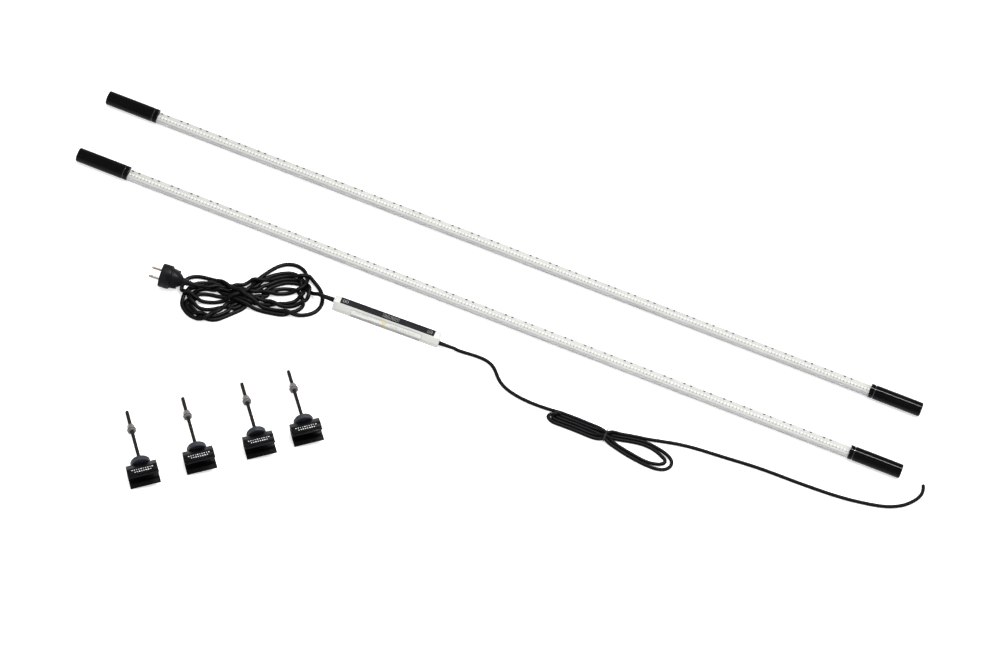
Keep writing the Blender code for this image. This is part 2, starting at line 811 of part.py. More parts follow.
def build_leads(collection, materials):
    """Both leads as plain tubes and hanks, and the tie round the output hank."""
    jacket = materials["lead_jacket"]
    lead_tube("mains_lead_a", MAINS_ROUTE_TO_HANK, MAINS_DIAMETER, collection, jacket)
    hank_solid(
        "mains_hank", MAINS_HANK_OUTLINE, MAINS_HANK_HEIGHT, CLEAR_OF_BENCH, collection, jacket
    )
    lead_tube("mains_lead_b", MAINS_ROUTE_TO_PLUG, MAINS_DIAMETER, collection, jacket)
    lead_tube("output_lead_a", OUTPUT_ROUTE_TO_HANK, OUTPUT_DIAMETER, collection, jacket)
    inner_width = 2 * TIE_HALF_SPAN
    inner_height = OUTPUT_HANK_HEIGHT + 3 * GAP
    tie_middle = inner_height / 2 + TIE_WALL + CLEAR_OF_BENCH
    lift = tie_middle - OUTPUT_HANK_HEIGHT / 2
    hank_solid(
        "output_hank", OUTPUT_HANK_OUTLINE, OUTPUT_HANK_HEIGHT, lift, collection, jacket
    )
    lead_tube("output_lead_b", OUTPUT_ROUTE_TO_END, OUTPUT_DIAMETER, collection, jacket)

    outer = rounded_rectangle(inner_width + 2 * TIE_WALL, inner_height + 2 * TIE_WALL, 0.003)
    inner = rounded_rectangle(inner_width, inner_height, 0.002)
    tie = extruded("tie", [outer, inner], TIE_WIDTH)
    link(
        "output_tie",
        tie,
        collection,
        materials["tie_wire"],
        (*TIE_PLACE, tie_middle),
        ALONG_X,
    )


def main():
    """Build the whole kit."""
    clear_scene()
    collection = new_collection("led_grow_light")
    cutters = new_collection("cutters")
    materials = make_materials()
    build_tube_lights(collection, materials)
    build_driver(collection, materials)
    build_clips(collection, cutters, materials)
    build_plug(collection, materials)
    build_leads(collection, materials)


main()
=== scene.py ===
"""Looks of an LED grow light kit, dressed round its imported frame.

Lengths are metres unless a name ends in _mm.
"""

from __future__ import annotations

import json
import logging
import math
from collections.abc import Sequence
from dataclasses import dataclass, field
from enum import Enum

import bmesh
import bpy
import numpy as np
from mathutils import Euler, Matrix, Vector


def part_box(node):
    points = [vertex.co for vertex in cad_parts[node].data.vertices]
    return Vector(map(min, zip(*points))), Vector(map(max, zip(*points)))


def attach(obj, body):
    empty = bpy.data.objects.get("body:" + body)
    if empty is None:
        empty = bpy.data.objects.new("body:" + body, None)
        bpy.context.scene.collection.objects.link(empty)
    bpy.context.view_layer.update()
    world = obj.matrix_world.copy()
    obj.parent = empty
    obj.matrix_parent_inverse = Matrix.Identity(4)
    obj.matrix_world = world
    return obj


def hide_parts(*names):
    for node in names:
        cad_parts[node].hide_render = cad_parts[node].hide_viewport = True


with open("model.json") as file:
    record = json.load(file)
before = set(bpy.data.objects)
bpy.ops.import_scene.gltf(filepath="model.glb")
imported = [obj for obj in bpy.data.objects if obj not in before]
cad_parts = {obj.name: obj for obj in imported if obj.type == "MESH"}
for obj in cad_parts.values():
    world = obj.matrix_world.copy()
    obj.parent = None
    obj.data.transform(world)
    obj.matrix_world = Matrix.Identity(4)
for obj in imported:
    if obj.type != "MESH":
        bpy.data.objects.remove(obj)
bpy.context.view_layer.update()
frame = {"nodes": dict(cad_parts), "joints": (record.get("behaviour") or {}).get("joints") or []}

LOG = logging.getLogger("grow_light")
MM = 0.001
GAP = 0.3 * MM
SEED = 7

Point = tuple[float, float, float]
Flat = tuple[float, float]
Colour = tuple[float, float, float, float]


class Facing(Enum):
    """Which way a turned piece's axis points, as a turn of the mesh that is made along +Z."""

    RIGHT = (math.pi / 2, 0.0, math.pi / 2)
    LEFT = (0.0, -math.pi / 2, 0.0)
    ALONG_ROD = (-math.pi / 2, 0.0, 0.0)
    UP = (0.0, 0.0, 0.0)

    def matrix(self, place: Point = (0.0, 0.0, 0.0)) -> Matrix:
        """The turn, followed by a move to the place.

        Args:
            place: Where the mesh goes.

        Returns:
            The matrix.
        """
        return Matrix.Translation(place) @ Euler(self.value).to_matrix().to_4x4()


# ---------------------------------------------------------------- finishes


def linear(colour: str) -> Colour:
    """An sRGB hex colour as linear RGBA.

    Args:
        colour: Six hex digits after a hash.

    Returns:
        Red, green, blue and an alpha of 1.
    """
    values = [int(colour[i : i + 2], 16) / 255 for i in (1, 3, 5)]
    made = [v / 12.92 if v <= 0.04045 else ((v + 0.055) / 1.055) ** 2.4 for v in values]
    return (made[0], made[1], made[2], 1.0)


def add_node(
    tree: bpy.types.NodeTree, kind: str, settings: dict[str, object] | None = None,
    inputs: dict[str | int, object] | None = None,
) -> bpy.types.Node:
    """Add a node, set its properties, and set or link its inputs.

    Args:
        tree: The tree that the node goes in.
        kind: The node's type name.
        settings: Property values by name.
        inputs: Values or output sockets, by input name or number.

    Returns:
        The new node.
    """
    node = tree.nodes.new(kind)
    for name, value in (settings or {}).items():
        setattr(node, name, value)
    for key, value in (inputs or {}).items():
        if isinstance(value, bpy.types.NodeSocket):
            tree.links.new(value, node.inputs[key])
        else:
            node.inputs[key].default_value = value
    return node


@dataclass(frozen=True)
class Finish:
    """A plain surface; each family below adds the grain that its process leaves."""

    name: str
    colour: str
    roughness: float
    metallic: float = 0.0
    ior: float = 1.5
    coat: float = 0.0
    specular: float = 0.5

    def material(self) -> bpy.types.Material:
        """The finish as a material, made once.

        Returns:
            The Blender material.
        """
        known = bpy.data.materials.get(self.name)
        if known is not None:
            return known
        made = bpy.data.materials.new(self.name)
        made.use_nodes = True
        tree = made.node_tree
        shader = tree.nodes["Principled BSDF"]
        shader.inputs["Base Color"].default_value = linear(self.colour)
        shader.inputs["Roughness"].default_value = self.roughness
        shader.inputs["Metallic"].default_value = self.metallic
        shader.inputs["IOR"].default_value = self.ior
        shader.inputs["Specular IOR Level"].default_value = self.specular
        shader.inputs["Coat Weight"].default_value = self.coat
        shader.inputs["Coat Roughness"].default_value = 0.08
        self.dress(tree, shader)
        return made

    def dress(self, tree: bpy.types.NodeTree, shader: bpy.types.Node) -> None:
        """Add the pattern of this family; a plain finish has none.

        Args:
            tree: The material's tree.
            shader: Its Principled shader.
        """

    def noise(
        self, tree: bpy.types.NodeTree, size_mm: float, stretch: Point = (1.0, 1.0, 1.0),
        detail: float = 2.0, turn: Point = (0.0, 0.0, 0.0),
    ) -> bpy.types.Node:
        """Noise in object space, with features of a real size.

        Args:
            tree: The material's tree.
            size_mm: Width of one feature.
            stretch: How much longer features are along each axis.
            detail: Octaves.
            turn: Turn of the pattern before it is stretched.

        Returns:
            The noise node.
        """
        coordinates = add_node(tree, "ShaderNodeTexCoord")
        scale = tuple(1.0 / (size_mm * MM * s) for s in stretch)
        mapping = add_node(
            tree,
            "ShaderNodeMapping",
            inputs={"Vector": coordinates.outputs["Object"], "Rotation": turn, "Scale": scale},
        )
        return add_node(
            tree,
            "ShaderNodeTexNoise",
            inputs={"Vector": mapping.outputs[0], "Scale": 1.0, "Detail": detail},
        )

    def spread(
        self, tree: bpy.types.NodeTree, source: bpy.types.NodeSocket, low: float, high: float,
        start: float = 0.35, stop: float = 0.65,
    ) -> bpy.types.NodeSocket:
        """Map a pattern's middle range to a range of values.

        Args:
            tree: The material's tree.
            source: The pattern.
            low: Value at the pattern's start.
            high: Value at the pattern's stop.
            start: Where the range begins.
            stop: Where it ends.

        Returns:
            The socket with the values.
        """
        return add_node(
            tree,
            "ShaderNodeMapRange",
            inputs={
                "Value": source, "From Min": start, "From Max": stop, "To Min": low, "To Max": high
            },
        ).outputs[0]

    def mottle(
        self, tree: bpy.types.NodeTree, shader: bpy.types.Node, source: bpy.types.NodeSocket,
        other: str,
    ) -> None:
        """Let the base colour wander between the finish's colour and another one.

        Args:
            tree: The material's tree.
            shader: Its Principled shader.
            source: The pattern, from 0 to 1.
            other: The other colour's hex digits.
        """
        mixed = add_node(
            tree, "ShaderNodeMix", {"data_type": "RGBA"},
            {0: source, 6: linear(self.colour), 7: linear(other)},
        )
        tree.links.new(mixed.outputs[2], shader.inputs["Base Color"])

    def raise_by(
        self, tree: bpy.types.NodeTree, shader: bpy.types.Node, height: bpy.types.NodeSocket,
        strength: float, depth_mm: float,
    ) -> None:
        """Use a pattern as a bump of a real depth.

        Args:
            tree: The material's tree.
            shader: Its Principled shader.
            height: The pattern.
            strength: How much of the depth shows.
            depth_mm: Depth of the pattern.
        """
        bump = add_node(
            tree,
            "ShaderNodeBump",
            inputs={"Height": height, "Strength": strength, "Distance": depth_mm * MM},
        )
        tree.links.new(bump.outputs[0], shader.inputs["Normal"])


@dataclass(frozen=True)
class MouldedPlastic(Finish):
    """Injection-moulded plastic: a fine spark-eroded grain, and handling marks that dull it."""

    grain_mm: float = 0.5
    depth_mm: float = 0.03
    worn: str = "#1A1A1C"

    def dress(self, tree: bpy.types.NodeTree, shader: bpy.types.Node) -> None:
        """Grain as bump, smudges as roughness and a slight change of shade.

        Args:
            tree: The material's tree.
            shader: Its Principled shader.
        """
        grain = self.noise(tree, self.grain_mm)
        self.raise_by(tree, shader, grain.outputs[0], 0.35, self.depth_mm)
        smudge = self.noise(tree, 14.0, detail=5.0)
        rough = self.spread(tree, smudge.outputs[0], self.roughness * 0.8, self.roughness * 1.5)
        tree.links.new(rough, shader.inputs["Roughness"])
        self.mottle(tree, shader, self.spread(tree, smudge.outputs[0], 0.0, 0.5), self.worn)


@dataclass(frozen=True)
class DrawnMetal(Finish):
    """Extruded aluminium: long fine die lines along the profile, and cloudy oxide."""

    cloudy: str = "#C4C4C2"
    line_mm: float = 0.7
    depth_mm: float = 0.05
    turn: float = 0.0

    def dress(self, tree: bpy.types.NodeTree, shader: bpy.types.Node) -> None:
        """Die lines as bump and roughness, oxide clouds as shade.

        Args:
            tree: The material's tree.
            shader: Its Principled shader.
        """
        turn = (0.0, 0.0, -self.turn)
        lines = self.noise(tree, self.line_mm, (260.0, 1.0, 1.0), 3.0, turn)
        self.raise_by(tree, shader, lines.outputs[0], 0.5, self.depth_mm)
        low, high = self.roughness * 0.8, self.roughness * 1.35
        rough = self.spread(tree, lines.outputs[0], low, high)
        tree.links.new(rough, shader.inputs["Roughness"])
        clouds = self.noise(tree, 22.0, (3.0, 1.0, 1.0), 4.0)
        self.mottle(tree, shader, self.spread(tree, clouds.outputs[0], 0.0, 1.0), self.cloudy)


@dataclass(frozen=True)
class PlatedSteel(Finish):
    """Machined and plated steel: turning marks, and plate that is thin in spots."""

    thin: str = "#4A4744"

    def dress(self, tree: bpy.types.NodeTree, shader: bpy.types.Node) -> None:
        """Speckled plate as shade, and fine marks as roughness and bump.

        Args:
            tree: The material's tree.
            shader: Its Principled shader.
        """
        marks = self.noise(tree, 0.6, detail=4.0)
        rough = self.spread(tree, marks.outputs[0], self.roughness * 0.7, self.roughness * 1.5)
        tree.links.new(rough, shader.inputs["Roughness"])
        self.raise_by(tree, shader, marks.outputs[0], 0.25, 0.03)
        spots = self.noise(tree, 3.0, detail=5.0)
        self.mottle(tree, shader, self.spread(tree, spots.outputs[0], 0.0, 0.8), self.thin)


@dataclass(frozen=True)
class ClearExtrusion(Finish):
    """Clear extruded plastic: nearly invisible face on, with a painted grey shade towards its
    edges.
    """

    face_on: float = 0.03
    edge_on: float = 0.95

    def dress(self, tree: bpy.types.NodeTree, shader: bpy.types.Node) -> None:
        """Alpha rises towards grazing angles, so the grey colour shows there as painted edge shade,
        with faint draw lines along the tube.

        Args:
            tree: The material's tree.
            shader: Its Principled shader.
        """
        # painted shade: the grey base colour appears through this alpha at grazing angles as a dark
        # line along each edge
        facing = add_node(tree, "ShaderNodeLayerWeight", inputs={"Blend": 0.35})
        cover = self.spread(tree, facing.outputs["Facing"], self.face_on, self.edge_on, 0.4, 0.95)
        tree.links.new(cover, shader.inputs["Alpha"])
        lines = self.noise(tree, 1.5, (300.0, 1.0, 1.0), 2.0)
        self.raise_by(tree, shader, lines.outputs[0], 0.2, 0.02)


@dataclass(frozen=True)
class CableJacket(Finish):
    """Extruded PVC jacket: a soft sheen, dusty scuffs and faint ripples of the conductors."""

    dusty: str = "#2C2C2D"

    def dress(self, tree: bpy.types.NodeTree, shader: bpy.types.Node) -> None:
        """Scuffs as shade and roughness, and a shallow unevenness as bump.

        Args:
            tree: The material's tree.
            shader: Its Principled shader.
        """
        scuffs = self.noise(tree, 9.0, detail=6.0)
        self.mottle(
            tree, shader, self.spread(tree, scuffs.outputs[0], 0.0, 0.6, 0.5, 0.8), self.dusty
        )
        rough = self.spread(tree, scuffs.outputs[0], self.roughness * 0.85, self.roughness * 1.3)
        tree.links.new(rough, shader.inputs["Roughness"])
        ripple = self.noise(tree, 5.0)
        self.raise_by(tree, shader, ripple.outputs[0], 0.3, 0.2)


@dataclass(frozen=True)
class CoatedBoard(Finish):
    """Circuit board: solder mask with the glass weave just showing, and a slow change of tone."""

    weave_mm: float = 0.8
    shade: str = "#D2D6D6"

    def dress(self, tree: bpy.types.NodeTree, shader: bpy.types.Node) -> None:
        """A weave of crossed waves as bump, with a slow change of shade.

        Args:
            tree: The material's tree.
            shader: Its Principled shader.
        """
        coordinates = add_node(tree, "ShaderNodeTexCoord")
        weave = add_node(
            tree,
            "ShaderNodeTexWave",
            {"bands_direction": "DIAGONAL"},
            {
                "Vector": coordinates.outputs["Object"],
                "Scale": 0.314 / (self.weave_mm * MM),
                "Distortion": 1.0,
            },
        )
        self.raise_by(tree, shader, weave.outputs["Fac"], 0.2, 0.02)
        clouds = self.noise(tree, 12.0, (4.0, 1.0, 1.0), 3.0)
        self.mottle(tree, shader, self.spread(tree, clouds.outputs[0], 0.0, 0.7), self.shade)


# Gloss black ABS, moulded and polished: deep black with one long hard highlight.
CAP_ABS = MouldedPlastic(
    "abs_cap_polished_black", "#030304", 0.09, specular=0.06, depth_mm=0.003, worn="#060607"
)
# Black polycarbonate, moulded: glossy, a little grey where it is handled.
CLAMP_PC = MouldedPlastic(
    "polycarbonate_clamp_moulded_black", "#060607", 0.3, specular=0.06, depth_mm=0.006,
    worn="#0B0B0D",
)
# Dark blue-grey nylon, moulded with a spark-eroded grain: a satin that stays even.
HUB_NYLON = MouldedPlastic(
    "nylon_hub_moulded_slate", "#1B1F27", 0.55, specular=0.25, grain_mm=0.9, depth_mm=0.06,
    worn="#232830",
)
# Clear polycarbonate tube, extruded: see-through; its grey colour shows only near each edge, as a
# thin line of painted shade where the wall is seen edge-on.
COVER_PC = ClearExtrusion("polycarbonate_tube_extruded_clear", "#3E4347", 0.12, ior=1.58)
# Mill-finish aluminium, extruded: bright grey with long die lines.
CARRIER_ALUMINIUM = DrawnMetal("aluminium_carrier_extruded", "#9C9C9C", 0.5, 0.1, cloudy="#A6A6A6")
# White solder mask on a fibreglass board: light neutral grey beside the lamps.
LED_BOARD_MASK = CoatedBoard(
    "fibreglass_board_white_mask", "#B2B2B0", 0.5, specular=0.3, shade="#BCBCB9"
)
# Heat-proof white nylon of the lamp bodies: flat white.
CHIP_NYLON = MouldedPlastic(
    "nylon_lamp_body_white", "#D9DAD6", 0.5, grain_mm=0.4, depth_mm=0.01, worn="#CDCDC8"
)
# Phosphor in clear silicone: pale cream, wet-looking.
CHIP_PHOSPHOR = MouldedPlastic(
    "phosphor_in_silicone", "#D6D5CB", 0.28, grain_mm=0.3, depth_mm=0.02, worn="#D0CEBC"
)
# Thick-film resistor: dull black ceramic.
RESISTOR_CERAMIC = MouldedPlastic("ceramic_resistor_black", "#0C0C0E", 0.5, depth_mm=0.01)
# Tinned copper: bright, soft solder; on the joint pads set low between the lamps its grey is also
# painted shade of the gaps.
TINNED_COPPER = PlatedSteel("solder_tinned", "#6C6D6E", 0.5, 0.3, thin="#58595A")
# Silicone, moulded: dark and wet-looking where it sits against the black cap.
GASKET_SILICONE = MouldedPlastic(
    "silicone_gasket_translucent", "#232527", 0.1, depth_mm=0.002, worn="#303234"
)
# Green nylon, moulded.
TERMINAL_NYLON = MouldedPlastic("nylon_terminal_green", "#2F6B3A", 0.45, worn="#3A7A46")
# Satin anodised aluminium, extruded: light warm grey with fine die lines.
DRIVER_ALUMINIUM = DrawnMetal(
    "aluminium_case_anodised", "#B4B4B0", 0.46, 0.1, cloudy="#ABABA7", turn=math.radians(1.6)
)
# Light grey ABS, moulded.
END_ABS = MouldedPlastic("abs_end_plate_grey", "#BEBEBB", 0.45, depth_mm=0.02, worn="#B6B6B2")
# Dark polyester film, printed: an even satin near-black.
NAMEPLATE_FILM = MouldedPlastic(
    "polyester_film_dark", "#121316", 0.5, specular=0.05, grain_mm=0.6, depth_mm=0.008,
    worn="#1E1F22",
)
# Pale polyester film: almost the case's own shade.
PALE_FILM = MouldedPlastic(
    "polyester_film_pale", "#BEBFBC", 0.35, grain_mm=0.6, depth_mm=0.008, worn="#B8B9B5"
)
# Screen-printed grey, light, white and yellow inks: thin, matt.
LIGHT_INK = MouldedPlastic("screen_ink_light", "#A9AAA6", 0.6, depth_mm=0.01, worn="#8F908C")
GREY_INK = MouldedPlastic("screen_ink_grey", "#5E5F5C", 0.6, depth_mm=0.01, worn="#71726F")
WHITE_INK = MouldedPlastic("pad_ink_white", "#E6E8EA", 0.5, depth_mm=0.01, worn="#CFD2D6")
YELLOW_INK = MouldedPlastic("screen_ink_yellow", "#BDAA5A", 0.5, depth_mm=0.01, worn="#C9BC80")
# Green solder mask on fibreglass.
POWER_BOARD_MASK = CoatedBoard("fibreglass_board_green_mask", "#1E5A33", 0.4, shade="#2A6B40")
# Ferrite and its tape: dull near-black.
FERRITE = MouldedPlastic("ferrite_core_taped", "#2B2A29", 0.6, depth_mm=0.05)
# PVC sleeve of a capacitor, shrunk on.
CAN_SLEEVE = MouldedPlastic("pvc_sleeve_dark_blue", "#1B2233", 0.35, depth_mm=0.01)
# Black-oxide steel, rolled thread, oiled: brown-black with a soft glint on each crest.
BLACK_OXIDE = PlatedSteel("steel_black_oxide", "#1C1A18", 0.5, 0.4, specular=0.15, thin="#24211F")
# Zinc-plated steel, dull: mid grey with duller spots.
ZINC_PLATE = PlatedSteel("steel_zinc_plated", "#6E6B68", 0.42, 0.7, thin="#545250")
# EPDM rubber, cut from sheet: matt black.
WASHER_EPDM = MouldedPlastic("epdm_washer_cut", "#4E4C4B", 0.5, depth_mm=0.02, worn="#5A5856")
# PVC jacket, extruded: near-black with a soft sheen.
LEAD_PVC = CableJacket("pvc_jacket_extruded_black", "#060607", 0.4, specular=0.045, dusty="#101012")
# PVC plug, over-moulded: a little greyer and duller than the lead.
PLUG_PVC = MouldedPlastic(
    "pvc_plug_overmoulded_black", "#08090B", 0.42, specular=0.06, grain_mm=0.7, depth_mm=0.03,
    worn="#14151A",
)
# Nickel-plated brass, turned: warm bright metal.
NICKEL = PlatedSteel("brass_nickel_plated", "#9C948C", 0.25, 1.0, thin="#70675E")
# Plastic-coated twist wire.
TIE_PVC = MouldedPlastic("pvc_twist_wire_black", "#0A0A0B", 0.4, specular=0.25)


# ---------------------------------------------------------------- mesh making


def mesh_from(bm: bmesh.types.BMesh, name: str, sharp: float = 35.0) -> bpy.types.Mesh:
    """Close a bmesh into a mesh with outward, smooth-shaded faces.

    Args:
        bm: The shape; it is freed.
        name: The mesh's name.
        sharp: Edges over this angle in degrees stay sharp.

    Returns:
        The mesh.
    """
    bmesh.ops.recalc_face_normals(bm, faces=bm.faces)
    mesh = bpy.data.meshes.new(name)
    bm.to_mesh(mesh)
    bm.free()
    mesh.shade_smooth()
    mesh.set_sharp_from_angle(angle=math.radians(sharp))
    return mesh


def arc(centre: Flat, radius: float, start: float, stop: float, steps: int) -> list[Flat]:
    """Points along an arc, both ends included; angles in degrees.

    Args:
        centre: The arc's centre.
        radius: Its radius.
        start: Angle of the first point.
        stop: Angle of the last point.
        steps: Steps from one to the other.

    Returns:
        The points in order.
    """
    turns = [math.radians(start + (stop - start) * i / steps) for i in range(steps + 1)]
    return [(centre[0] + radius * math.cos(a), centre[1] + radius * math.sin(a)) for a in turns]


def rounded(width: float, height: float, corner: float, steps: int = 5) -> list[Flat]:
    """Points round a rectangle about the origin, with round corners.

    Args:
        width: Size along X.
        height: Size along Y.
        corner: Radius of the corners.
        steps: Steps in each corner.

    Returns:
        The points, anticlockwise.
    """
    points: list[Flat] = []
    for quarter, (sx, sy) in enumerate(((1, 1), (-1, 1), (-1, -1), (1, -1))):
        centre = (sx * (width / 2 - corner), sy * (height / 2 - corner))
        points += arc(centre, corner, quarter * 90, quarter * 90 + 90, steps)
    return points


def in_mm(*points: Flat) -> list[Flat]:
    """Points that are given in millimetres.

    Args:
        points: Pairs of numbers in millimetres.

    Returns:
        The pairs in metres.
    """
    return [(first * MM, second * MM) for first, second in points]


def lathe(
    name: str, profile: Sequence[Flat], segments: int = 48, ring: bool = False, sharp: float = 35.0
) -> bpy.types.Mesh:
    """Turn a profile of (radius, height) points about Z.

    Args:
        name: The mesh's name.
        profile: From pole to pole, or round a ring's section.
        segments: Faces round the axis.
        ring: Whether the profile closes on itself.
        sharp: Edges over this angle in degrees stay sharp.

    Returns:
        A closed mesh.
    """
    bm = bmesh.new()
    rows: list[list[bmesh.types.BMVert]] = []
    for radius, height in profile:
        count = segments if radius > 1e-7 else 1
        turns = [2 * math.pi * i / segments for i in range(count)]
        rows.append(
            [bm.verts.new((radius * math.cos(a), radius * math.sin(a), height)) for a in turns]
        )
    pairs = list(zip(rows, rows[1:]))
    if ring:
        pairs.append((rows[-1], rows[0]))
    for upper, lower in pairs:
        for i in range(segments):
            j = (i + 1) % segments
            corners = [
                upper[i % len(upper)], upper[j % len(upper)], lower[j % len(lower)],
                lower[i % len(lower)],
            ]
            unique = list(dict.fromkeys(corners))
            if len(unique) > 2:
                bm.faces.new(unique)
    return mesh_from(bm, name, sharp)


def prism(
    name: str, outline: Sequence[Flat], length: float, rim: float = 0.0, sharp: float = 35.0
) -> bpy.types.Mesh:
    """Give a flat outline a thickness along Z, with its two rims rounded.

    Args:
        name: The mesh's name.
        outline: Points round the shape in XY.
        length: Thickness, centred on the origin.
        rim: Radius of the rims.
        sharp: Edges over this angle in degrees stay sharp.

    Returns:
        A closed mesh.
    """
    bm = bmesh.new()
    ends = [[bm.verts.new((x, y, z)) for x, y in outline] for z in (-length / 2, length / 2)]
    count = len(outline)
    for i in range(count):
        j = (i + 1) % count
        bm.faces.new((ends[0][i], ends[0][j], ends[1][j], ends[1][i]))
    caps = [bm.faces.new(end) for end in ends]
    bmesh.ops.recalc_face_normals(bm, faces=bm.faces)
    if rim:
        edges = list({edge for cap in caps for edge in cap.edges})
        bmesh.ops.bevel(bm, geom=edges, offset=rim, segments=2, profile=0.7, affect="EDGES")
    wide = [face for face in bm.faces if len(face.verts) > 4]
    bmesh.ops.triangulate(bm, faces=wide)
    return mesh_from(bm, name, sharp)


def block(name: str, size: Point, bevel: float, segments: int = 2) -> bpy.types.Mesh:
    """A box about its centre, with rounded edges.

    Args:
        name: The mesh's name.
        size: Its three sizes.
        bevel: Radius of the edges; 0 leaves them sharp.
        segments: Steps across an edge.

    Returns:
        A closed mesh.
    """
    bm = bmesh.new()
    bmesh.ops.create_cube(bm, size=1.0)
    bmesh.ops.scale(bm, vec=size, verts=bm.verts)
    if bevel:
        bmesh.ops.bevel(
            bm, geom=bm.edges[:], offset=bevel, segments=segments, profile=0.7, affect="EDGES"
        )
    return mesh_from(bm, name, 50.0)


def tube_along(name: str, path: Sequence[Vector], radius: float, sides: int = 10) -> bpy.types.Mesh:
    """A round bar along a path, with domed ends closed by fans.

    Args:
        name: The mesh's name.
        path: Points along the middle.
        radius: The bar's radius.
        sides: Faces round the bar.

    Returns:
        A closed mesh.
    """
    bm = bmesh.new()
    rows = []
    side = Vector((0, 0, 1))
    for i, point in enumerate(path):
        ahead = path[min(i + 1, len(path) - 1)] - path[max(i - 1, 0)]
        ahead.normalize()
        side = (side - ahead * side.dot(ahead)).normalized()
        other = ahead.cross(side)
        turns = [2 * math.pi * k / sides for k in range(sides)]
        rows.append(
            [
                bm.verts.new(point + radius * (math.cos(a) * side + math.sin(a) * other))
                for a in turns
            ]
        )
    for first, second in zip(rows, rows[1:]):
        for k in range(sides):
            n = (k + 1) % sides
            bm.faces.new((first[k], first[n], second[n], second[k]))
    for row, point, before in ((rows[0], path[0], path[1]), (rows[-1], path[-1], path[-2])):
        tip = bm.verts.new(point + (point - before).normalized() * radius * 0.4)
        for k in range(sides):
            bm.faces.new((row[k], row[(k + 1) % sides], tip))
    return mesh_from(bm, name, 60.0)


def joined(name: str, meshes: Sequence[bpy.types.Mesh]) -> bpy.types.Mesh:
    """One mesh from several, each keeping its own shading.

    Args:
        name: The new mesh's name.
        meshes: Meshes in one space; they are removed.

    Returns:
        The joined mesh.
    """
    bm = bmesh.new()
    for mesh in meshes:
        bm.from_mesh(mesh)
    made = bpy.data.meshes.new(name)
    bm.to_mesh(made)
    bm.free()
    for mesh in meshes:
        bpy.data.meshes.remove(mesh)
    return made


def piece(
    name: str, mesh: bpy.types.Mesh, finish: Finish, body: str,
    replaces: Sequence[str] = (), matrix: Matrix | None = None,
) -> bpy.types.Object:
    """Put a mesh in the scene as a finished piece.

    Args:
        name: The piece's name.
        mesh: Its mesh; a copy is moved into place.
        finish: What it is dressed in.
        body: The body it rides on.
        replaces: CAD nodes that it stands for.
        matrix: Where the mesh goes in the row frame.

    Returns:
        The object.
    """
    own = mesh.copy()
    own.name = name
    if matrix is not None:
        own.transform(matrix)
    own.materials.clear()
    own.materials.append(finish.material())
    made = bpy.data.objects.new(name, own)
    bpy.context.scene.collection.objects.link(made)
    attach(made, body)
    if replaces:
        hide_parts(*replaces)
    LOG.info("made %s: %d faces, rides on %s", name, len(own.polygons), body)
    return made


def dress_node(node: str, finish: Finish) -> None:
    """Give a CAD node its finish.

    Args:
        node: The node's name.
        finish: What it is dressed in.
    """
    slots = frame["nodes"][node].data.materials
    slots.clear()
    slots.append(finish.material())
    LOG.info("dressed %s in %s", node, finish.name)


# ---------------------------------------------------------------- repeats


class RowOfCopies:
    """Geometry Nodes that lay copies of a small piece along a line and make them one mesh."""

    def __init__(self) -> None:
        """Build the node tree with its named inputs."""
        tree = bpy.data.node_groups.new("row_of_copies", "GeometryNodeTree")
        sockets = (
            ("Piece", "NodeSocketObject"), ("Count", "NodeSocketInt"),
            ("First", "NodeSocketVector"), ("Step", "NodeSocketVector"),
            ("Shortest", "NodeSocketFloat"), ("Seed", "NodeSocketInt"),
            ("Finish", "NodeSocketMaterial"),
        )
        for name, kind in sockets:
            tree.interface.new_socket(name, in_out="INPUT", socket_type=kind)
        tree.interface.new_socket("Mesh", in_out="OUTPUT", socket_type="NodeSocketGeometry")
        given = tree.nodes.new("NodeGroupInput").outputs
        line = add_node(
            tree,
            "GeometryNodeMeshLine",
            {"mode": "OFFSET"},
            {"Count": given["Count"], "Start Location": given["First"], "Offset": given["Step"]},
        )
        source = add_node(tree, "GeometryNodeObjectInfo", inputs={"Object": given["Piece"]})
        chance = add_node(
            tree,
            "FunctionNodeRandomValue",
            {"data_type": "FLOAT"},
            {"Min": given["Shortest"], "Max": 1.0, "Seed": given["Seed"]},
        )
        size = add_node(tree, "ShaderNodeCombineXYZ", inputs={0: chance.outputs[1], 1: 1.0, 2: 1.0})
        copies = add_node(
            tree,
            "GeometryNodeInstanceOnPoints",
            inputs={
                "Points": line.outputs[0],
                "Instance": source.outputs["Geometry"],
                "Scale": size.outputs[0],
            },
        )
        real = add_node(tree, "GeometryNodeRealizeInstances", inputs={0: copies.outputs[0]})
        dressed = add_node(
            tree,
            "GeometryNodeSetMaterial",
            inputs={"Geometry": real.outputs[0], "Material": given["Finish"]},
        )
        add_node(tree, "NodeGroupOutput", inputs={0: dressed.outputs[0]})
        self.tree = tree

    def lay(
        self, small: bpy.types.Mesh, count: int, first: Point, step: Point, finish: Finish,
        shortest: float = 1.0, seed: int = SEED,
    ) -> bpy.types.Mesh:
        """Lay a row and return it as a plain mesh.

        Args:
            small: The piece that is copied.
            count: How many.
            first: Place of the first one.
            step: From one to the next.
            finish: What they are made of.
            shortest: Smallest random share of a copy's own length; 1 keeps them all alike.
            seed: Seed of the lengths.

        Returns:
            A mesh with every copy.
        """
        source = bpy.data.objects.new("copied", small)
        host = bpy.data.objects.new("row", bpy.data.meshes.new("row"))
        for obj in (source, host):
            bpy.context.scene.collection.objects.link(obj)
        modifier = host.modifiers.new("row", "NODES")
        modifier.node_group = self.tree
        values = {
            "Piece": source, "Count": count, "First": first, "Step": step, "Shortest": shortest,
            "Seed": seed, "Finish": finish.material(),
        }
        for item in self.tree.interface.items_tree:
            if item.in_out == "INPUT":
                modifier[item.identifier] = values[item.name]
        bpy.context.view_layer.update()
        graph = bpy.context.evaluated_depsgraph_get()
        made = bpy.data.meshes.new_from_object(host.evaluated_get(graph))
        bpy.data.objects.remove(host)
        bpy.data.objects.remove(source)
        return made


# ---------------------------------------------------------------- camera and studio


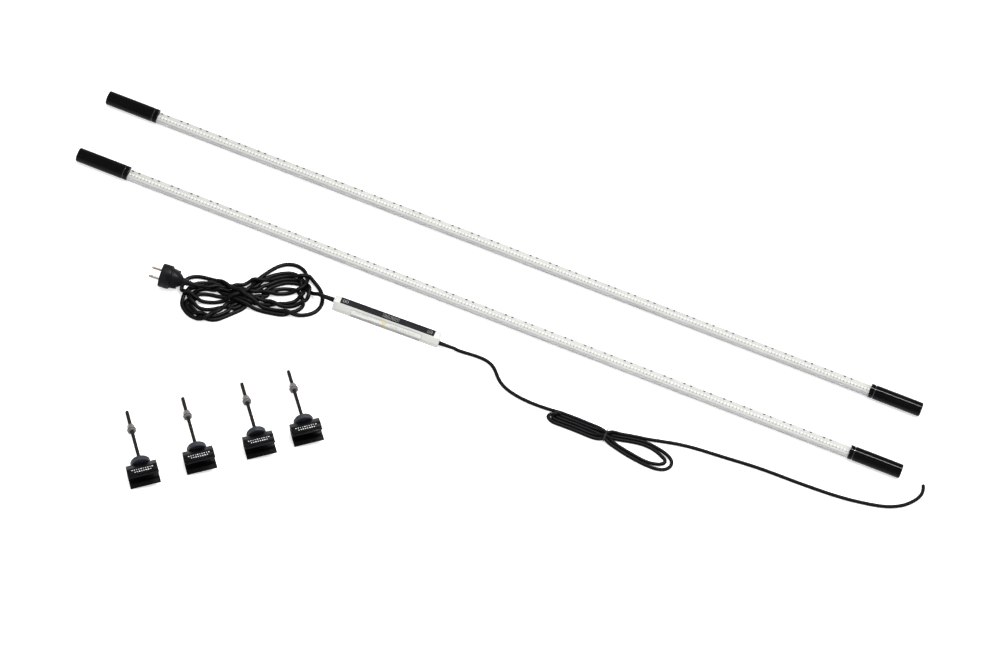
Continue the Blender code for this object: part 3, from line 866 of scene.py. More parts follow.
@dataclass
class Studio:
    """The bench, the lights and the camera."""

    target: Point = (0.036, 0.192, 0.012)
    distance: float = 6.761
    elevation: float = math.radians(52.0)
    roll: float = math.radians(16.0)
    turn: float = math.radians(6.46)
    lens_mm: float = 144.0
    table_glow: float = 0.4

    def place_camera(self) -> bpy.types.Object:
        """Returns:
            The camera.
        """
        across = Vector((math.cos(self.turn), math.sin(self.turn), 0.0))
        away = Vector((-math.sin(self.turn), math.cos(self.turn), 0.0))
        above = Vector((0.0, 0.0, 1.0))
        ahead = away * math.cos(self.elevation) - above * math.sin(self.elevation)
        upright = away * math.sin(self.elevation) + above * math.cos(self.elevation)
        right = across * math.cos(self.roll) + upright * math.sin(self.roll)
        up = upright * math.cos(self.roll) - across * math.sin(self.roll)
        data = bpy.data.cameras.new("camera")
        data.lens = self.lens_mm
        data.sensor_width = 36.0
        data.clip_end = 60.0
        camera = bpy.data.objects.new("camera", data)
        place = Vector(self.target) - ahead * self.distance
        turned = Matrix((right, up, -ahead)).transposed().to_4x4()
        camera.matrix_world = Matrix.Translation(place) @ turned
        bpy.context.scene.collection.objects.link(camera)
        bpy.context.scene.camera = camera
        return camera

    def lay_floor(self) -> bpy.types.Object:
        """A wide white floor, lit from below a little so that shadows stay faint.

        Returns:
            The floor.
        """
        bm = bmesh.new()
        bmesh.ops.create_grid(bm, x_segments=8, y_segments=8, size=12.0)
        floor = bpy.data.objects.new("floor", mesh_from(bm, "floor"))
        paint = Finish("studio_light_table", "#FFFFFF", 0.9).material()
        shader = paint.node_tree.nodes["Principled BSDF"]
        shader.inputs["Emission Color"].default_value = linear("#FFFFFF")
        shader.inputs["Emission Strength"].default_value = self.table_glow
        floor.data.materials.append(paint)
        bpy.context.scene.collection.objects.link(floor)
        return floor

    def light(
        self, name: str, place: Point, size: Flat, watts: float, aim: Point
    ) -> bpy.types.Object:
        """Hang one soft box.

        Args:
            name: The light's name.
            place: Where it hangs.
            size: Its width and depth.
            watts: Its power.
            aim: The point that it faces.

        Returns:
            The light.
        """
        data = bpy.data.lights.new(name, "AREA")
        data.shape = "RECTANGLE"
        data.size, data.size_y = size
        data.energy = watts
        lamp = bpy.data.objects.new(name, data)
        lamp.location = place
        lamp.rotation_euler = (Vector(aim) - Vector(place)).to_track_quat("-Z", "Y").to_euler()
        bpy.context.scene.collection.objects.link(lamp)
        return lamp

    def build(self) -> None:
        """Set up the whole studio; a narrow strip alone gives the hard glints."""
        self.place_camera()
        self.lay_floor()
        world = bpy.data.worlds.new("studio")
        world.use_nodes = True
        sky = world.node_tree.nodes["Background"]
        sky.inputs["Color"].default_value = linear("#FFFFFF")
        sky.inputs["Strength"].default_value = 0.85
        bpy.context.scene.world = world
        bpy.context.scene.view_settings.view_transform = "Standard"
        overhead = self.light("overhead", (0.3, 0.6, 3.6), (3.4, 2.0), 115.0, (0.0, 0.1, 0.0))
        overhead.visible_glossy = False
        self.light("front_left", (-2.6, -2.4, 2.2), (1.6, 1.2), 36.0, (-0.1, 0.0, 0.0))
        strip = self.light("strip", (0.6, 0.8, 2.6), (2.6, 0.14), 260.0, (0.6, 0.2, 0.0))
        strip.visible_diffuse = False


# ---------------------------------------------------------------- leads


def smooth_path(points: Sequence[Sequence[float]], spacing: float) -> np.ndarray:
    """An evenly spaced path on a smooth curve through the points.

    Args:
        points: Places that the path goes through.
        spacing: Distance from one point to the next.

    Returns:
        The path as an array of places.
    """
    known = np.array(points, float)
    known = np.vstack([2 * known[0] - known[1], known, 2 * known[-1] - known[-2]])
    t = np.linspace(0, 1, 24, endpoint=False)[:, None]
    parts = []
    for a, b, c, d in zip(known, known[1:], known[2:], known[3:]):
        parts.append(
            0.5
            * (
                2 * b
                + (c - a) * t
                + (2 * a - 5 * b + 4 * c - d) * t**2
                + (3 * b - a - 3 * c + d) * t**3
            )
        )
    fine = np.vstack([*parts, known[-2:-1]])
    along = np.concatenate([[0.0], np.cumsum(np.linalg.norm(np.diff(fine, axis=0), axis=1))])
    wanted = np.linspace(0, along[-1], max(3, round(along[-1] / spacing) + 1))
    return np.stack([np.interp(wanted, along, fine[:, k]) for k in range(3)], axis=1)


@dataclass
class Settler:
    """Lets a lead's strands sink onto the bench and rest on each other.

    Each round the strands fall by a share of their diameter, are held back to their laid places
    by another share, push each other apart and are smoothed.  The last rounds only do the latter.
    """

    diameter: float
    rounds: int = 260
    hold: float = 0.03
    fall: float = 0.05
    push: float = 1.6
    smooth: float = 0.25
    last_smooth: float = 0.1
    last_from: float = 0.85
    neighbour: float = 1.9

    def part(self, path: np.ndarray, apart: int) -> np.ndarray:
        """How far each point moves to stand one diameter from every other strand.

        Args:
            path: The lead's points.
            apart: Points nearer than this along the lead don't push each other.

        Returns:
            The moves.
        """
        between = path[:, None] - path[None]
        distance = np.linalg.norm(between, axis=2)
        index = np.arange(len(path))
        near = (distance < self.diameter) & (abs(index[:, None] - index[None]) > apart)
        push = np.where(near, (self.diameter - distance) / np.maximum(distance, 1e-6), 0.0)
        moves = (between * push[..., None]).sum(axis=1) * 0.5
        return moves / np.maximum(near.sum(axis=1), 1)[:, None]

    def settle(self, start: np.ndarray, pinned: np.ndarray) -> np.ndarray:
        """Relax the path.

        Args:
            start: The path as laid.
            pinned: Which points stay where they are.

        Returns:
            The settled path.
        """
        path = start.copy()
        spacing = np.linalg.norm(np.diff(start, axis=0), axis=1)
        apart = int(math.ceil(self.neighbour * self.diameter / spacing.mean()))
        free = ~pinned
        for turn in range(self.rounds):
            last = turn > self.rounds * self.last_from
            before = path.copy()
            if not last:
                path[:, 2] -= self.fall * self.diameter
                path[:, :2] += (start[:, :2] - path[:, :2]) * self.hold
            path += self.part(path, apart) * self.push
            middle = (path[:-2] + path[2:]) / 2
            path[1:-1] += (middle - path[1:-1]) * (self.last_smooth if last else self.smooth)
            for first in (0, 1):
                a, b = path[first:-1:2], path[first + 1 :: 2]
                count = min(len(a), len(b))
                a, b = a[:count], b[:count]
                step = b - a
                length = np.linalg.norm(step, axis=1, keepdims=True)
                rest = spacing[first::2][:count, None]
                fix = step * (length - rest) / np.maximum(length, 1e-9) * 0.5
                a += fix
                b -= fix
            path[:, 2] = np.maximum(path[:, 2], self.diameter / 2)
            path[pinned] = before[pinned]
        path[free, 2] = np.maximum(path[free, 2], self.diameter / 2)
        return path


def lead_object(name: str, path: np.ndarray, diameter: float) -> bpy.types.Object:
    """A lead as a curve of one open spline with a round bevel.

    Args:
        name: The lead's name.
        path: The settled path.
        diameter: The jacket's thickness.

    Returns:
        The curve object.
    """
    curve = bpy.data.curves.new(name, "CURVE")
    curve.dimensions = "3D"
    curve.bevel_depth = diameter / 2
    curve.bevel_resolution = 5
    curve.use_fill_caps = True
    spline = curve.splines.new("POLY")
    spline.points.add(len(path) - 1)
    spline.points.foreach_set("co", np.hstack([path, np.ones((len(path), 1))]).ravel())
    spline.use_smooth = True
    curve.materials.append(LEAD_PVC.material())
    made = bpy.data.objects.new(name, curve)
    bpy.context.scene.collection.objects.link(made)
    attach(made, "driver")
    return made


def length_of(path: np.ndarray) -> float:
    """The path's length.

    Args:
        path: Places along a lead.

    Returns:
        The length in metres.
    """
    return float(np.linalg.norm(np.diff(path, axis=0), axis=1).sum())


@dataclass(frozen=True)
class Lobe:
    """One half of a figure-of-eight turn: how far it reaches, how wide, and how it leans."""

    reach_mm: float
    half_width_mm: float
    lean: float


@dataclass
class MainsLead:
    """The mains lead: a loose bundle of figure-of-eight turns, with the plug at its end."""

    diameter: float = 7.0 * MM
    spacing: float = 4.0 * MM
    waist: Flat = (-0.382, 0.066)
    lean: float = 29.0
    steps: int = 24
    from_driver: tuple[Point, ...] = (
        (-0.2560, 0.1235, 0.0165), (-0.2650, 0.1233, 0.0165), (-0.2700, 0.1237, 0.0158),
        (-0.2760, 0.1250, 0.0135), (-0.2815, 0.1272, 0.0100),
    )
    to_plug: tuple[Point, ...] = (
        (-0.4040, 0.0790, 0.0210), (-0.4200, 0.0745, 0.0190), (-0.4340, 0.0650, 0.0180),
        (-0.4460, 0.0540, 0.0190), (-0.4560, 0.0462, 0.0202), (-0.4650, 0.0442, 0.0206),
        (-0.4720, 0.0436, 0.0206),
    )
    right: tuple[Lobe, ...] = (
        Lobe(114, 30, 5), Lobe(103, 27, -5), Lobe(110, 29, 12), Lobe(117, 33, 8),
        Lobe(127, 32, 25), Lobe(137, 41, 1),
    )
    left: tuple[Lobe, ...] = (
        Lobe(94, 27, 9), Lobe(96, 28, -7), Lobe(98, 31, 5), Lobe(101, 36, 4), Lobe(107, 27, -19)
    )
    falling: tuple[float, ...] = (-14.0, -5.5, 3.0, 11.5, -1.0, 14.0)
    rising: tuple[float, ...] = (-12.0, -3.5, 5.0, 13.5, 1.0)
    falling_height: tuple[float, ...] = (3.5, 3.5, 3.5, 3.5, 17.0, 22.0)
    rising_height: tuple[float, ...] = (10.5, 10.5, 10.5, 10.5, 23.0)

    def eight(self) -> list[Point]:
        """Points along the turns, laid one after the other and not yet settled.

        Returns:
            Places in the row frame.
        """
        made: list[Point] = []
        last = len(self.left)
        for turn in range(last + 1):
            for step in range(self.steps):
                angle = 2 * math.pi * step / self.steps
                before_first = turn == 0 and step < 1
                after_last = turn == last and step > 4
                if not before_first and not after_last:
                    made.append(self.place_on(turn, angle))
        return made

    def place_on(self, turn: int, angle: float) -> Point:
        """Where one turn of the bundle is at an angle of its figure of eight.

        Args:
            turn: Which turn.
            angle: From the right end, over the top right, to the bottom left and back.

        Returns:
            A place in the row frame.
        """
        if math.cos(angle) < 0:
            lobe, order = self.left[turn], turn
        else:
            order = turn + (1 if angle > math.pi else 0)
            lobe = self.right[order]
        falling = angle < math.pi
        offset = (self.falling if falling else self.rising)[turn]
        crossing = (self.falling_height if falling else self.rising_height)[turn]
        x = lobe.reach_mm * math.cos(angle)
        y = 2 * lobe.half_width_mm * math.sin(angle) * math.cos(angle)
        lean = math.radians(lobe.lean)
        u = x * math.cos(lean) - y * math.sin(lean)
        v = x * math.sin(lean) + y * math.cos(lean)
        v += offset * math.sin(angle) ** 6
        end_height = 3.5 + 2.5 * order
        share = math.sin(angle) ** 4
        z = end_height + (crossing - end_height) * share
        turned = math.radians(self.lean)
        return (
            self.waist[0] + MM * (u * math.cos(turned) - v * math.sin(turned)),
            self.waist[1] + MM * (u * math.sin(turned) + v * math.cos(turned)),
            MM * z,
        )

    def build(self, on_lead: Sequence[bpy.types.Object]) -> bpy.types.Object:
        """Args:
            on_lead: The plug's pieces; not used.

        Returns:
            The lead.
        """
        start = smooth_path([*self.from_driver, *self.eight(), *self.to_plug], self.spacing)
        index = np.arange(len(start))
        pinned = (index < 5) | (index > len(start) - 6)
        rounds = 320
        path = Settler(self.diameter, rounds).settle(start, pinned)
        made = lead_object("mains_lead", path, self.diameter)
        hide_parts("mains_lead_a", "mains_hank", "mains_lead_b")
        LOG.info("mains lead: %.2f m, top at %.1f mm", length_of(path), path[:, 2].max() / MM)
        return made


@dataclass(frozen=True)
class HankLoop:
    """One there-and-back of the folded hank, in millimetres."""

    right: float
    upper: float
    lower: float
    tie_out: Flat
    tie_back: Flat
    left: float
    left_lower: float
    left_upper: float
    height: float


@dataclass
class OutputLead:
    """The output lead: out of the driver, through a folded and tied hank, to a cut end."""

    diameter: float = 6.2 * MM
    spacing: float = 3.5 * MM
    to_hank: tuple[Point, ...] = (
        (-0.0340, 0.1264, 0.0075), (-0.0297, 0.1266, 0.0075), (-0.0240, 0.1273, 0.0070),
        (-0.0140, 0.1290, 0.0046), (0.0020, 0.1307, 0.0031), (0.0200, 0.1325, 0.0031),
        (0.0380, 0.1312, 0.0031), (0.0510, 0.1240, 0.0031), (0.0600, 0.1105, 0.0031),
        (0.0695, 0.0985, 0.0031), (0.0850, 0.0895, 0.0031), (0.1080, 0.0835, 0.0031),
        (0.1350, 0.0812, 0.0031), (0.1560, 0.0820, 0.0031), (0.1850, 0.0836, 0.0031),
        (0.2150, 0.0838, 0.0033), (0.2430, 0.0815, 0.0038),
    )
    to_end: tuple[Point, ...] = (
        (0.2980, 0.0870, 0.0070), (0.3230, 0.0950, 0.0034), (0.3430, 0.1005, 0.0031),
        (0.3620, 0.1060, 0.0031), (0.3890, 0.1130, 0.0031), (0.4200, 0.1175, 0.0031),
        (0.4580, 0.1205, 0.0031), (0.5280, 0.1265, 0.0031), (0.5990, 0.1275, 0.0031),
        (0.6700, 0.1310, 0.0031), (0.7200, 0.1395, 0.0031), (0.7500, 0.1480, 0.0031),
        (0.7760, 0.1645, 0.0031), (0.7930, 0.1875, 0.0031), (0.7985, 0.2045, 0.0031),
        (0.7935, 0.2180, 0.0031),
    )
    loops: tuple[HankLoop, ...] = (
        HankLoop(390, 91, 46, (78.8, 4.6), (66.2, 4.6), 164, 62.0, 77, 3.1),
        HankLoop(379, 85, 53, (72.5, 4.6), (69.4, 9.9), 171, 63.0, 79, 9.3),
    )
    last_tie: Flat = (75.6, 9.9)
    tie_x: float = 268.0 * MM

    def hank(self) -> list[Point]:
        """Points along the folded runs.

        Returns:
            Places in the row frame.
        """
        made: list[Point] = []
        tie_x = self.tie_x / MM
        ties = [*(loop.tie_out for loop in self.loops[1:]), self.last_tie]
        for loop, next_tie in zip(self.loops, ties):
            flat, height = 3.1, loop.height
            middle = (loop.upper + loop.lower) / 2
            made += [
                (tie_x, *loop.tie_out), (298, loop.upper - 6, flat), (325, loop.upper, flat),
                (350, loop.upper - 1, flat), (loop.right - 11, loop.upper - 9, flat),
                (loop.right, middle, flat), (loop.right - 9, loop.lower + 5, flat),
                (loop.right - 30, loop.lower, flat), (329, loop.lower + 3, flat),
                (299, loop.lower + 9, (flat + loop.tie_back[1]) / 2), (tie_x, *loop.tie_back),
                (243, loop.tie_back[0] - 0.5, height + 0.5), (216, loop.tie_back[0] - 1.5, height),
                (loop.left + 24, loop.left_lower + 2, height),
                (loop.left + 10, loop.left_lower, height),
                (loop.left, (loop.left_lower + loop.left_upper) / 2, height),
                (loop.left + 10, loop.left_upper, height),
                (loop.left + 24, loop.left_upper - 2.5, height),
                (213, (loop.left_upper + 76) / 2, height + 0.4),
                (230, (2 * next_tie[0] + loop.left_upper) / 3, height + 0.2),
                (248, next_tie[0] + 0.8, next_tie[1] + 1.0),
            ]
        made.append((tie_x, *self.last_tie))
        return [(x * MM, y * MM, z * MM) for x, y, z in made]

    def build(self) -> bpy.types.Object:
        """Returns:
            The lead.
        """
        start = smooth_path([*self.to_hank, *self.hank(), *self.to_end], self.spacing)
        index = np.arange(len(start))
        at_tie = abs(start[:, 0] - self.tie_x) < 3.0 * MM
        pinned = (index < 4) | (index > len(start) - 3) | at_tie
        rounds = 260
        path = Settler(self.diameter, rounds).settle(start, pinned)
        made = lead_object("output_lead", path, self.diameter)
        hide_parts("output_lead_a", "output_hank", "output_lead_b")
        tie = self.build_tie()
        LOG.info("output lead: %.2f m, top at %.1f mm", length_of(path), path[:, 2].max() / MM)
        return made

    def build_tie(self) -> bpy.types.Object:
        """The twist wire round the hank, with its two ends twisted together on top.

        Returns:
            The tie.
        """
        low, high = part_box("output_tie")
        middle = (low + high) / 2
        half, wire = (high - low) / 2, 0.7 * MM
        band = []
        for y, z in rounded(2 * half.y - 2 * wire, 2 * half.z - 2 * wire, 0.004, 6):
            band.append(Vector((middle.x, middle.y + y, middle.z + z)))
        band = [*band, band[0], band[1]]
        turns = 5
        tails = []
        for side in (0.0, math.pi):
            tail = []
            for i in range(turns * 8 + 1):
                angle = side + math.pi * i / 8
                along = 0.010 * i / (turns * 8)
                tail.append(
                    Vector(
                        (
                            middle.x + 1.1 * wire * math.cos(angle),
                            middle.y - 0.004 - along,
                            high.z - wire + 1.1 * wire * (1 + math.sin(angle)) - 0.0022,
                        )
                    )
                )
            tails.append(tail)
        bars = [tube_along("tie_bar", path, wire) for path in (band, *tails)]
        mesh = joined("output_twist_tie", bars)
        return piece("output_twist_tie", mesh, TIE_PVC, "driver", ["output_tie"])


@dataclass
class Plug:
    """The round two-pin plug and its ribbed boot."""

    place: Point = (-0.5225, 0.0390, 0.0206)
    turn: float = math.radians(5.0)
    radius: float = 20.2 * MM
    length: float = 37.0 * MM
    boot: float = 21.0 * MM
    pin_spacing: float = 19.0 * MM

    def matrix(self, along: float = 0.0, across: float = 0.0) -> Matrix:
        """From a mesh made with its face up to its place on the bench.

        Args:
            along: Distance from the face towards the boot, before the turn.
            across: Distance across the face.

        Returns:
            The move and turn.
        """
        home = Matrix.Translation(self.place) @ Matrix.Rotation(self.turn, 4, "Z")
        return home @ Facing.LEFT.matrix((along, across, 0.0))

    def body_mesh(self) -> bpy.types.Mesh:
        """The drum with its recessed face, and the grip stepped down towards the boot.

        Returns:
            The mesh, face up.
        """
        r = self.radius
        profile = [
            (0.0, -3.6 * MM), (r - 3.6 * MM, -4.0 * MM), (r - 3.2 * MM, -3.6 * MM),
            (r - 2.7 * MM, -0.4 * MM), (r - 2.3 * MM, 0.0), (r - 1.0 * MM, 0.0),
            (r - 0.25 * MM, -0.4 * MM), (r, -1.3 * MM), (r, -15.8 * MM),
            (r - 0.3 * MM, -17.2 * MM), (r - 1.3 * MM, -18.3 * MM), (r - 2.6 * MM, -18.7 * MM),
            *in_mm(
                (17.2, -19.2), (16.7, -21.5), (15.9, -25.0), (14.0, -29.0), (11.6, -32.8),
                (9.2, -35.6), (7.6, -37.0), (0.0, -37.0),
            ),
        ]
        return lathe("plug_body", profile, 64)

    def ribs_mesh(self) -> bpy.types.Mesh:
        """Grip ribs along both sides of the plug's stepped part.

        Returns:
            The mesh, face up.
        """
        ribs = []
        for side in (-1, 1):
            for i in range(5):
                angle = side * math.pi / 2 + math.radians((i - 2) * 11)
                rib = block("rib", (1.3 * MM, 1.4 * MM, 12.5 * MM), 0.4 * MM)
                lean = Matrix.Rotation(math.radians(9), 4, "Y")
                shift = Matrix.Translation((16.2 * MM, 0.0, -25.0 * MM))
                rib.transform(Matrix.Rotation(angle, 4, "Z") @ shift @ lean)
                ribs.append(rib)
        return joined("plug_ribs", ribs)

    def boot_mesh(self) -> bpy.types.Mesh:
        """The tapered strain relief with its rings.

        Returns:
            The mesh, wide end up.
        """
        rings = 5
        pitch = self.boot / rings
        profile: list[Flat] = [(0.0, 0.0)]
        for i in range(rings):
            radius = (6.6 - 2.4 * i / (rings - 1)) * MM
            top = -i * pitch
            profile += [
                (radius - 0.3 * MM, top), (radius, top - 0.4 * MM), (radius, top - 0.52 * pitch),
                (radius - 0.3 * MM, top - 0.62 * pitch),
            ]
            if i < rings - 1:
                groove = radius - 1.2 * MM
                profile += [(groove, top - 0.68 * pitch), (groove, top - 0.96 * pitch)]
        profile.append((0.0, -(rings - 0.38) * pitch))
        return lathe("plug_boot", profile, 40)

    def build(self) -> list[bpy.types.Object]:
        """Make the plug.

        Returns:
            Its pieces, all on the lead.
        """
        profile = in_mm(
            (0.0, 19.0), (1.0, 18.9), (1.8, 18.3), (2.3, 17.0), (2.4, 16.0), (2.4, -3.7),
            (0.0, -3.7),
        )
        pin = lathe("pin", profile, 24)
        made = [
            piece(
                "plug_drum", self.body_mesh(), PLUG_PVC, "driver", ["plug_body"],
                self.matrix(),
            ),
            piece(
                "plug_grip_ribs", self.ribs_mesh(), PLUG_PVC, "driver",
                matrix=self.matrix(),
            ),
            piece(
                "plug_strain_relief", self.boot_mesh(), PLUG_PVC, "driver",
                ["plug_boot"], self.matrix(self.length + GAP),
            ),
        ]
        for number, side in ((1, -1), (2, 1)):
            made.append(
                piece(
                    f"plug_round_pin_{number}", pin, NICKEL, "driver",
                    [f"plug_pin_{number}"], self.matrix(0.0, side * self.pin_spacing / 2),
                )
            )
        return made


# ---------------------------------------------------------------- tube lights


@dataclass
class TubeLight:
    """One tube light: clear cover, carrier, LED board with its chips, caps and gaskets."""

    name: str
    rows: RowOfCopies
    wall: float = 1.2 * MM
    cap_rim: float = 2.2 * MM
    spigot: float = 7.0 * MM
    chip_pitch: float = 6.0 * MM
    chip_size: Point = (3.9 * MM, 4.2 * MM, 1.0 * MM)
    resistor_size: Point = (3.4 * MM, 2.3 * MM, 0.8 * MM)
    flute_pitch: float = 9.0
    centre: Vector = field(init=False)
    half: float = field(init=False)
    board_top: float = field(init=False)

    def __post_init__(self) -> None:
        """Read the tube's place and size off its CAD nodes."""
        low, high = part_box(f"{self.name}_cover")
        self.centre = (low + high) / 2
        self.half = (high.x - low.x) / 2
        self.board_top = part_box(f"{self.name}_led_board")[1].z - self.centre.z

    def at(self, facing: Facing = Facing.UP, place: Point = (0.0, 0.0, 0.0)) -> Matrix:
        """From a mesh about the tube's middle to its place on the bench.

        Args:
            facing: Which way the mesh's axis points.
            place: Where it goes, from the tube's middle.

        Returns:
            The move and turn.
        """
        return Matrix.Translation(self.centre) @ facing.matrix(place)

    def build_cover(self) -> None:
        """The clear tube, with its cut ends just broken."""
        low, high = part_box(f"{self.name}_cover")
        outer = (high.z - low.z) / 2
        inner, edge = outer - self.wall, 0.15 * MM
        profile = [
            (outer - edge, self.half), (outer, self.half - edge), (outer, -self.half + edge),
            (outer - edge, -self.half), (inner + edge, -self.half), (inner, -self.half + edge),
            (inner, self.half - edge), (inner + edge, self.half),
        ]
        mesh = lathe("cover", profile, 72, ring=True)
        name = f"{self.name}_cover"
        matrix = self.at(Facing.RIGHT)
        piece(f"{name}_tube", mesh, COVER_PC, self.name, [name], matrix)

    def build_carrier(self) -> None:
        """The D-shaped extrusion, with fine flutes round its lower side."""
        low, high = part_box(f"{self.name}_carrier")
        radius = (high.y - low.y) / 2
        top = high.z - self.centre.z
        start = math.degrees(math.asin(top / radius))
        steps = 120
        outline: list[Flat] = []
        for i in range(steps + 1):
            degrees = start - (180 + 2 * start) * i / steps
            phase = (degrees + 90) / self.flute_pitch
            flute = 0.35 * MM * (0.5 - 0.5 * math.cos(2 * math.pi * phase))
            share = min(1.0, min(i, steps - i) / 8)
            r = radius - flute * share
            around = math.radians(degrees)
            outline.append((r * math.cos(around), r * math.sin(around)))
        length = high.x - low.x
        mesh = prism("carrier", outline, length)
        name = f"{self.name}_carrier"
        middle = ((low.x + high.x) / 2 - self.centre.x, 0.0, 0.0)
        matrix = self.at(Facing.RIGHT, middle)
        finish, slot = CARRIER_ALUMINIUM, "aluminium_carrier"
        piece(f"{name}_extrusion", mesh, finish, self.name, [name], matrix)

    def build_lamps(self) -> None:
        """The board's lamps, their phosphor windows, the resistors, and the joint pads, whose grey
        is also painted shade in the gaps between the lamps.
        """
        length, width, height = self.chip_size
        low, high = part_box(f"{self.name}_led_board")
        count = int((high.x - low.x - length) / self.chip_pitch) + 1
        first_x = -self.chip_pitch * (count - 1) / 2
        step = (self.chip_pitch, 0.0, 0.0)
        y = -1.2 * MM
        z = self.board_top + height / 2
        matrix = self.at()
        chips = self.rows.lay(
            block("chip", (length, width, height), 0.12 * MM, 1), count, (first_x, y, z), step,
            CHIP_NYLON,
        )
        piece(f"{self.name}_lamps", chips, CHIP_NYLON, self.name, matrix=matrix)
        windows = self.rows.lay(
            block("window", (length - 1.2 * MM, width - 1.0 * MM, 0.3 * MM), 0.1 * MM, 1),
            count,
            (first_x, y, self.board_top + height + 0.05 * MM),
            step,
            CHIP_PHOSPHOR,
        )
        piece(
            f"{self.name}_phosphor", windows, CHIP_PHOSPHOR, self.name, matrix=matrix
        )
        period = 6 * self.chip_pitch
        pairs = int(count / 6)
        rx, ry, rz = self.resistor_size
        body = block("resistor", (rx - 0.7 * MM, ry, rz), 0.1 * MM, 1)
        ends = joined(
            "resistor_ends",
            [self.moved(block("end", (0.4 * MM, ry, rz), 0.08 * MM, 1), s * (rx / 2 - 0.15 * MM))
             for s in (-1, 1)],
        )
        bodies, metal = [], []
        for start in (0.0, period / 3):
            place = (first_x + 0.4 * self.chip_pitch + start, 6.9 * MM, self.board_top + rz / 2)
            go = (period, 0.0, 0.0)
            bodies.append(self.rows.lay(body, pairs, place, go, RESISTOR_CERAMIC))
            metal.append(self.rows.lay(ends, pairs, place, go, TINNED_COPPER))
        piece(
            f"{self.name}_resistors", joined("resistors", bodies), RESISTOR_CERAMIC, self.name,
            matrix=matrix,
        )
        # painted shade: grey solder pads low in the gaps between the lamps stand in also for the
        # shade of those gaps
        pads_and_gap_shade = self.rows.lay(
            block("pad", (1.5 * MM, 1.8 * MM, 0.12 * MM), 0.0),
            count,
            (first_x + self.chip_pitch / 2, -3.6 * MM, self.board_top + 0.06 * MM),
            step,
            TINNED_COPPER,
        )
        piece(
            f"{self.name}_solder", joined("solder", [*metal, pads_and_gap_shade]), TINNED_COPPER, self.name,
            matrix=matrix,
        )

    @staticmethod
    def moved(mesh: bpy.types.Mesh, x: float) -> bpy.types.Mesh:
        """The mesh, moved along X.

        Args:
            mesh: The mesh; it is changed.
            x: How far.

        Returns:
            The same mesh.
        """
        mesh.transform(Matrix.Translation((x, 0.0, 0.0)))
        return mesh

    def cap_profile(self, length: float, radius: float) -> list[Flat]:
        """The cap's section from its closed end to its spigot.

        Args:
            length: From the cover's end to the cap's outer end.
            radius: The cap's radius.

        Returns:
            Points of (radius, height above the cover's end).
        """
        shoulder = 1.6 * MM
        spigot = radius - 0.5 * MM - self.wall - GAP
        rim = arc((radius - self.cap_rim, length - self.cap_rim), self.cap_rim, 90, 0, 8)
        return [
            (0.0, length), *rim, (radius, shoulder + 0.3 * MM), (radius - 0.3 * MM, shoulder),
            (spigot, shoulder), (spigot, -self.spigot + 0.4 * MM),
            (spigot - 0.4 * MM, -self.spigot), (spigot - 2.6 * MM, -self.spigot),
            (spigot - 2.6 * MM, length - 4.5 * MM), (0.0, length - 4.5 * MM),
        ]

    def build_ends(self) -> None:
        """Both caps, both gaskets, and the finishes of the terminal block and the LED board."""
        for side, facing, sign in (("left", Facing.LEFT, -1), ("right", Facing.RIGHT, 1)):
            low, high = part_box(f"{self.name}_cap_{side}")
            outer_end = high.x if sign > 0 else low.x
            length = abs(outer_end - self.centre.x) - self.half
            radius = (high.z - low.z) / 2
            mesh = lathe("cap", self.cap_profile(length, radius), 72)
            name = f"{self.name}_cap_{side}"
            matrix = self.at(facing, (sign * self.half, 0.0, 0.0))
            piece(f"{name}_moulding", mesh, CAP_ABS, self.name, [name], matrix)
            cover_low, cover_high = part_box(f"{self.name}_cover")
            skin = (cover_high.z - cover_low.z) / 2 + 0.05 * MM
            edge = radius - 0.12 * MM
            section = [
                (skin, -self.spigot), (edge - 0.15 * MM, -self.spigot),
                (edge, -self.spigot + 0.2 * MM), (edge, -0.3 * MM), (skin, -0.3 * MM),
            ]
            skirt = lathe("skirt", section, 72, ring=True)
            piece(f"{name}_skirt", skirt, CAP_ABS, self.name, matrix=matrix)
            ring_low, ring_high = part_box(f"{self.name}_gasket_{side}")
            outer = (ring_high.z - ring_low.z) / 2
            section = rounded(self.wall + 0.1 * MM, ring_high.x - ring_low.x, 0.25 * MM, 3)
            middle = abs((ring_high.x + ring_low.x) / 2 - self.centre.x) - self.half
            profile = [(outer - 0.65 * MM + r, middle + h) for r, h in section]
            ring = lathe("gasket", profile, 72, ring=True)
            name = f"{self.name}_gasket_{side}"
            finish, slot = GASKET_SILICONE, "clear_gasket"
            piece(f"{name}_seal", ring, finish, self.name, [name], matrix)
        dress_node(f"{self.name}_terminal", TERMINAL_NYLON)
        dress_node(f"{self.name}_led_board", LED_BOARD_MASK)

    def build(self) -> None:
        """Make the whole tube light."""
        self.build_carrier()
        self.build_lamps()
        self.build_ends()
        self.build_cover()


# ---------------------------------------------------------------- driver


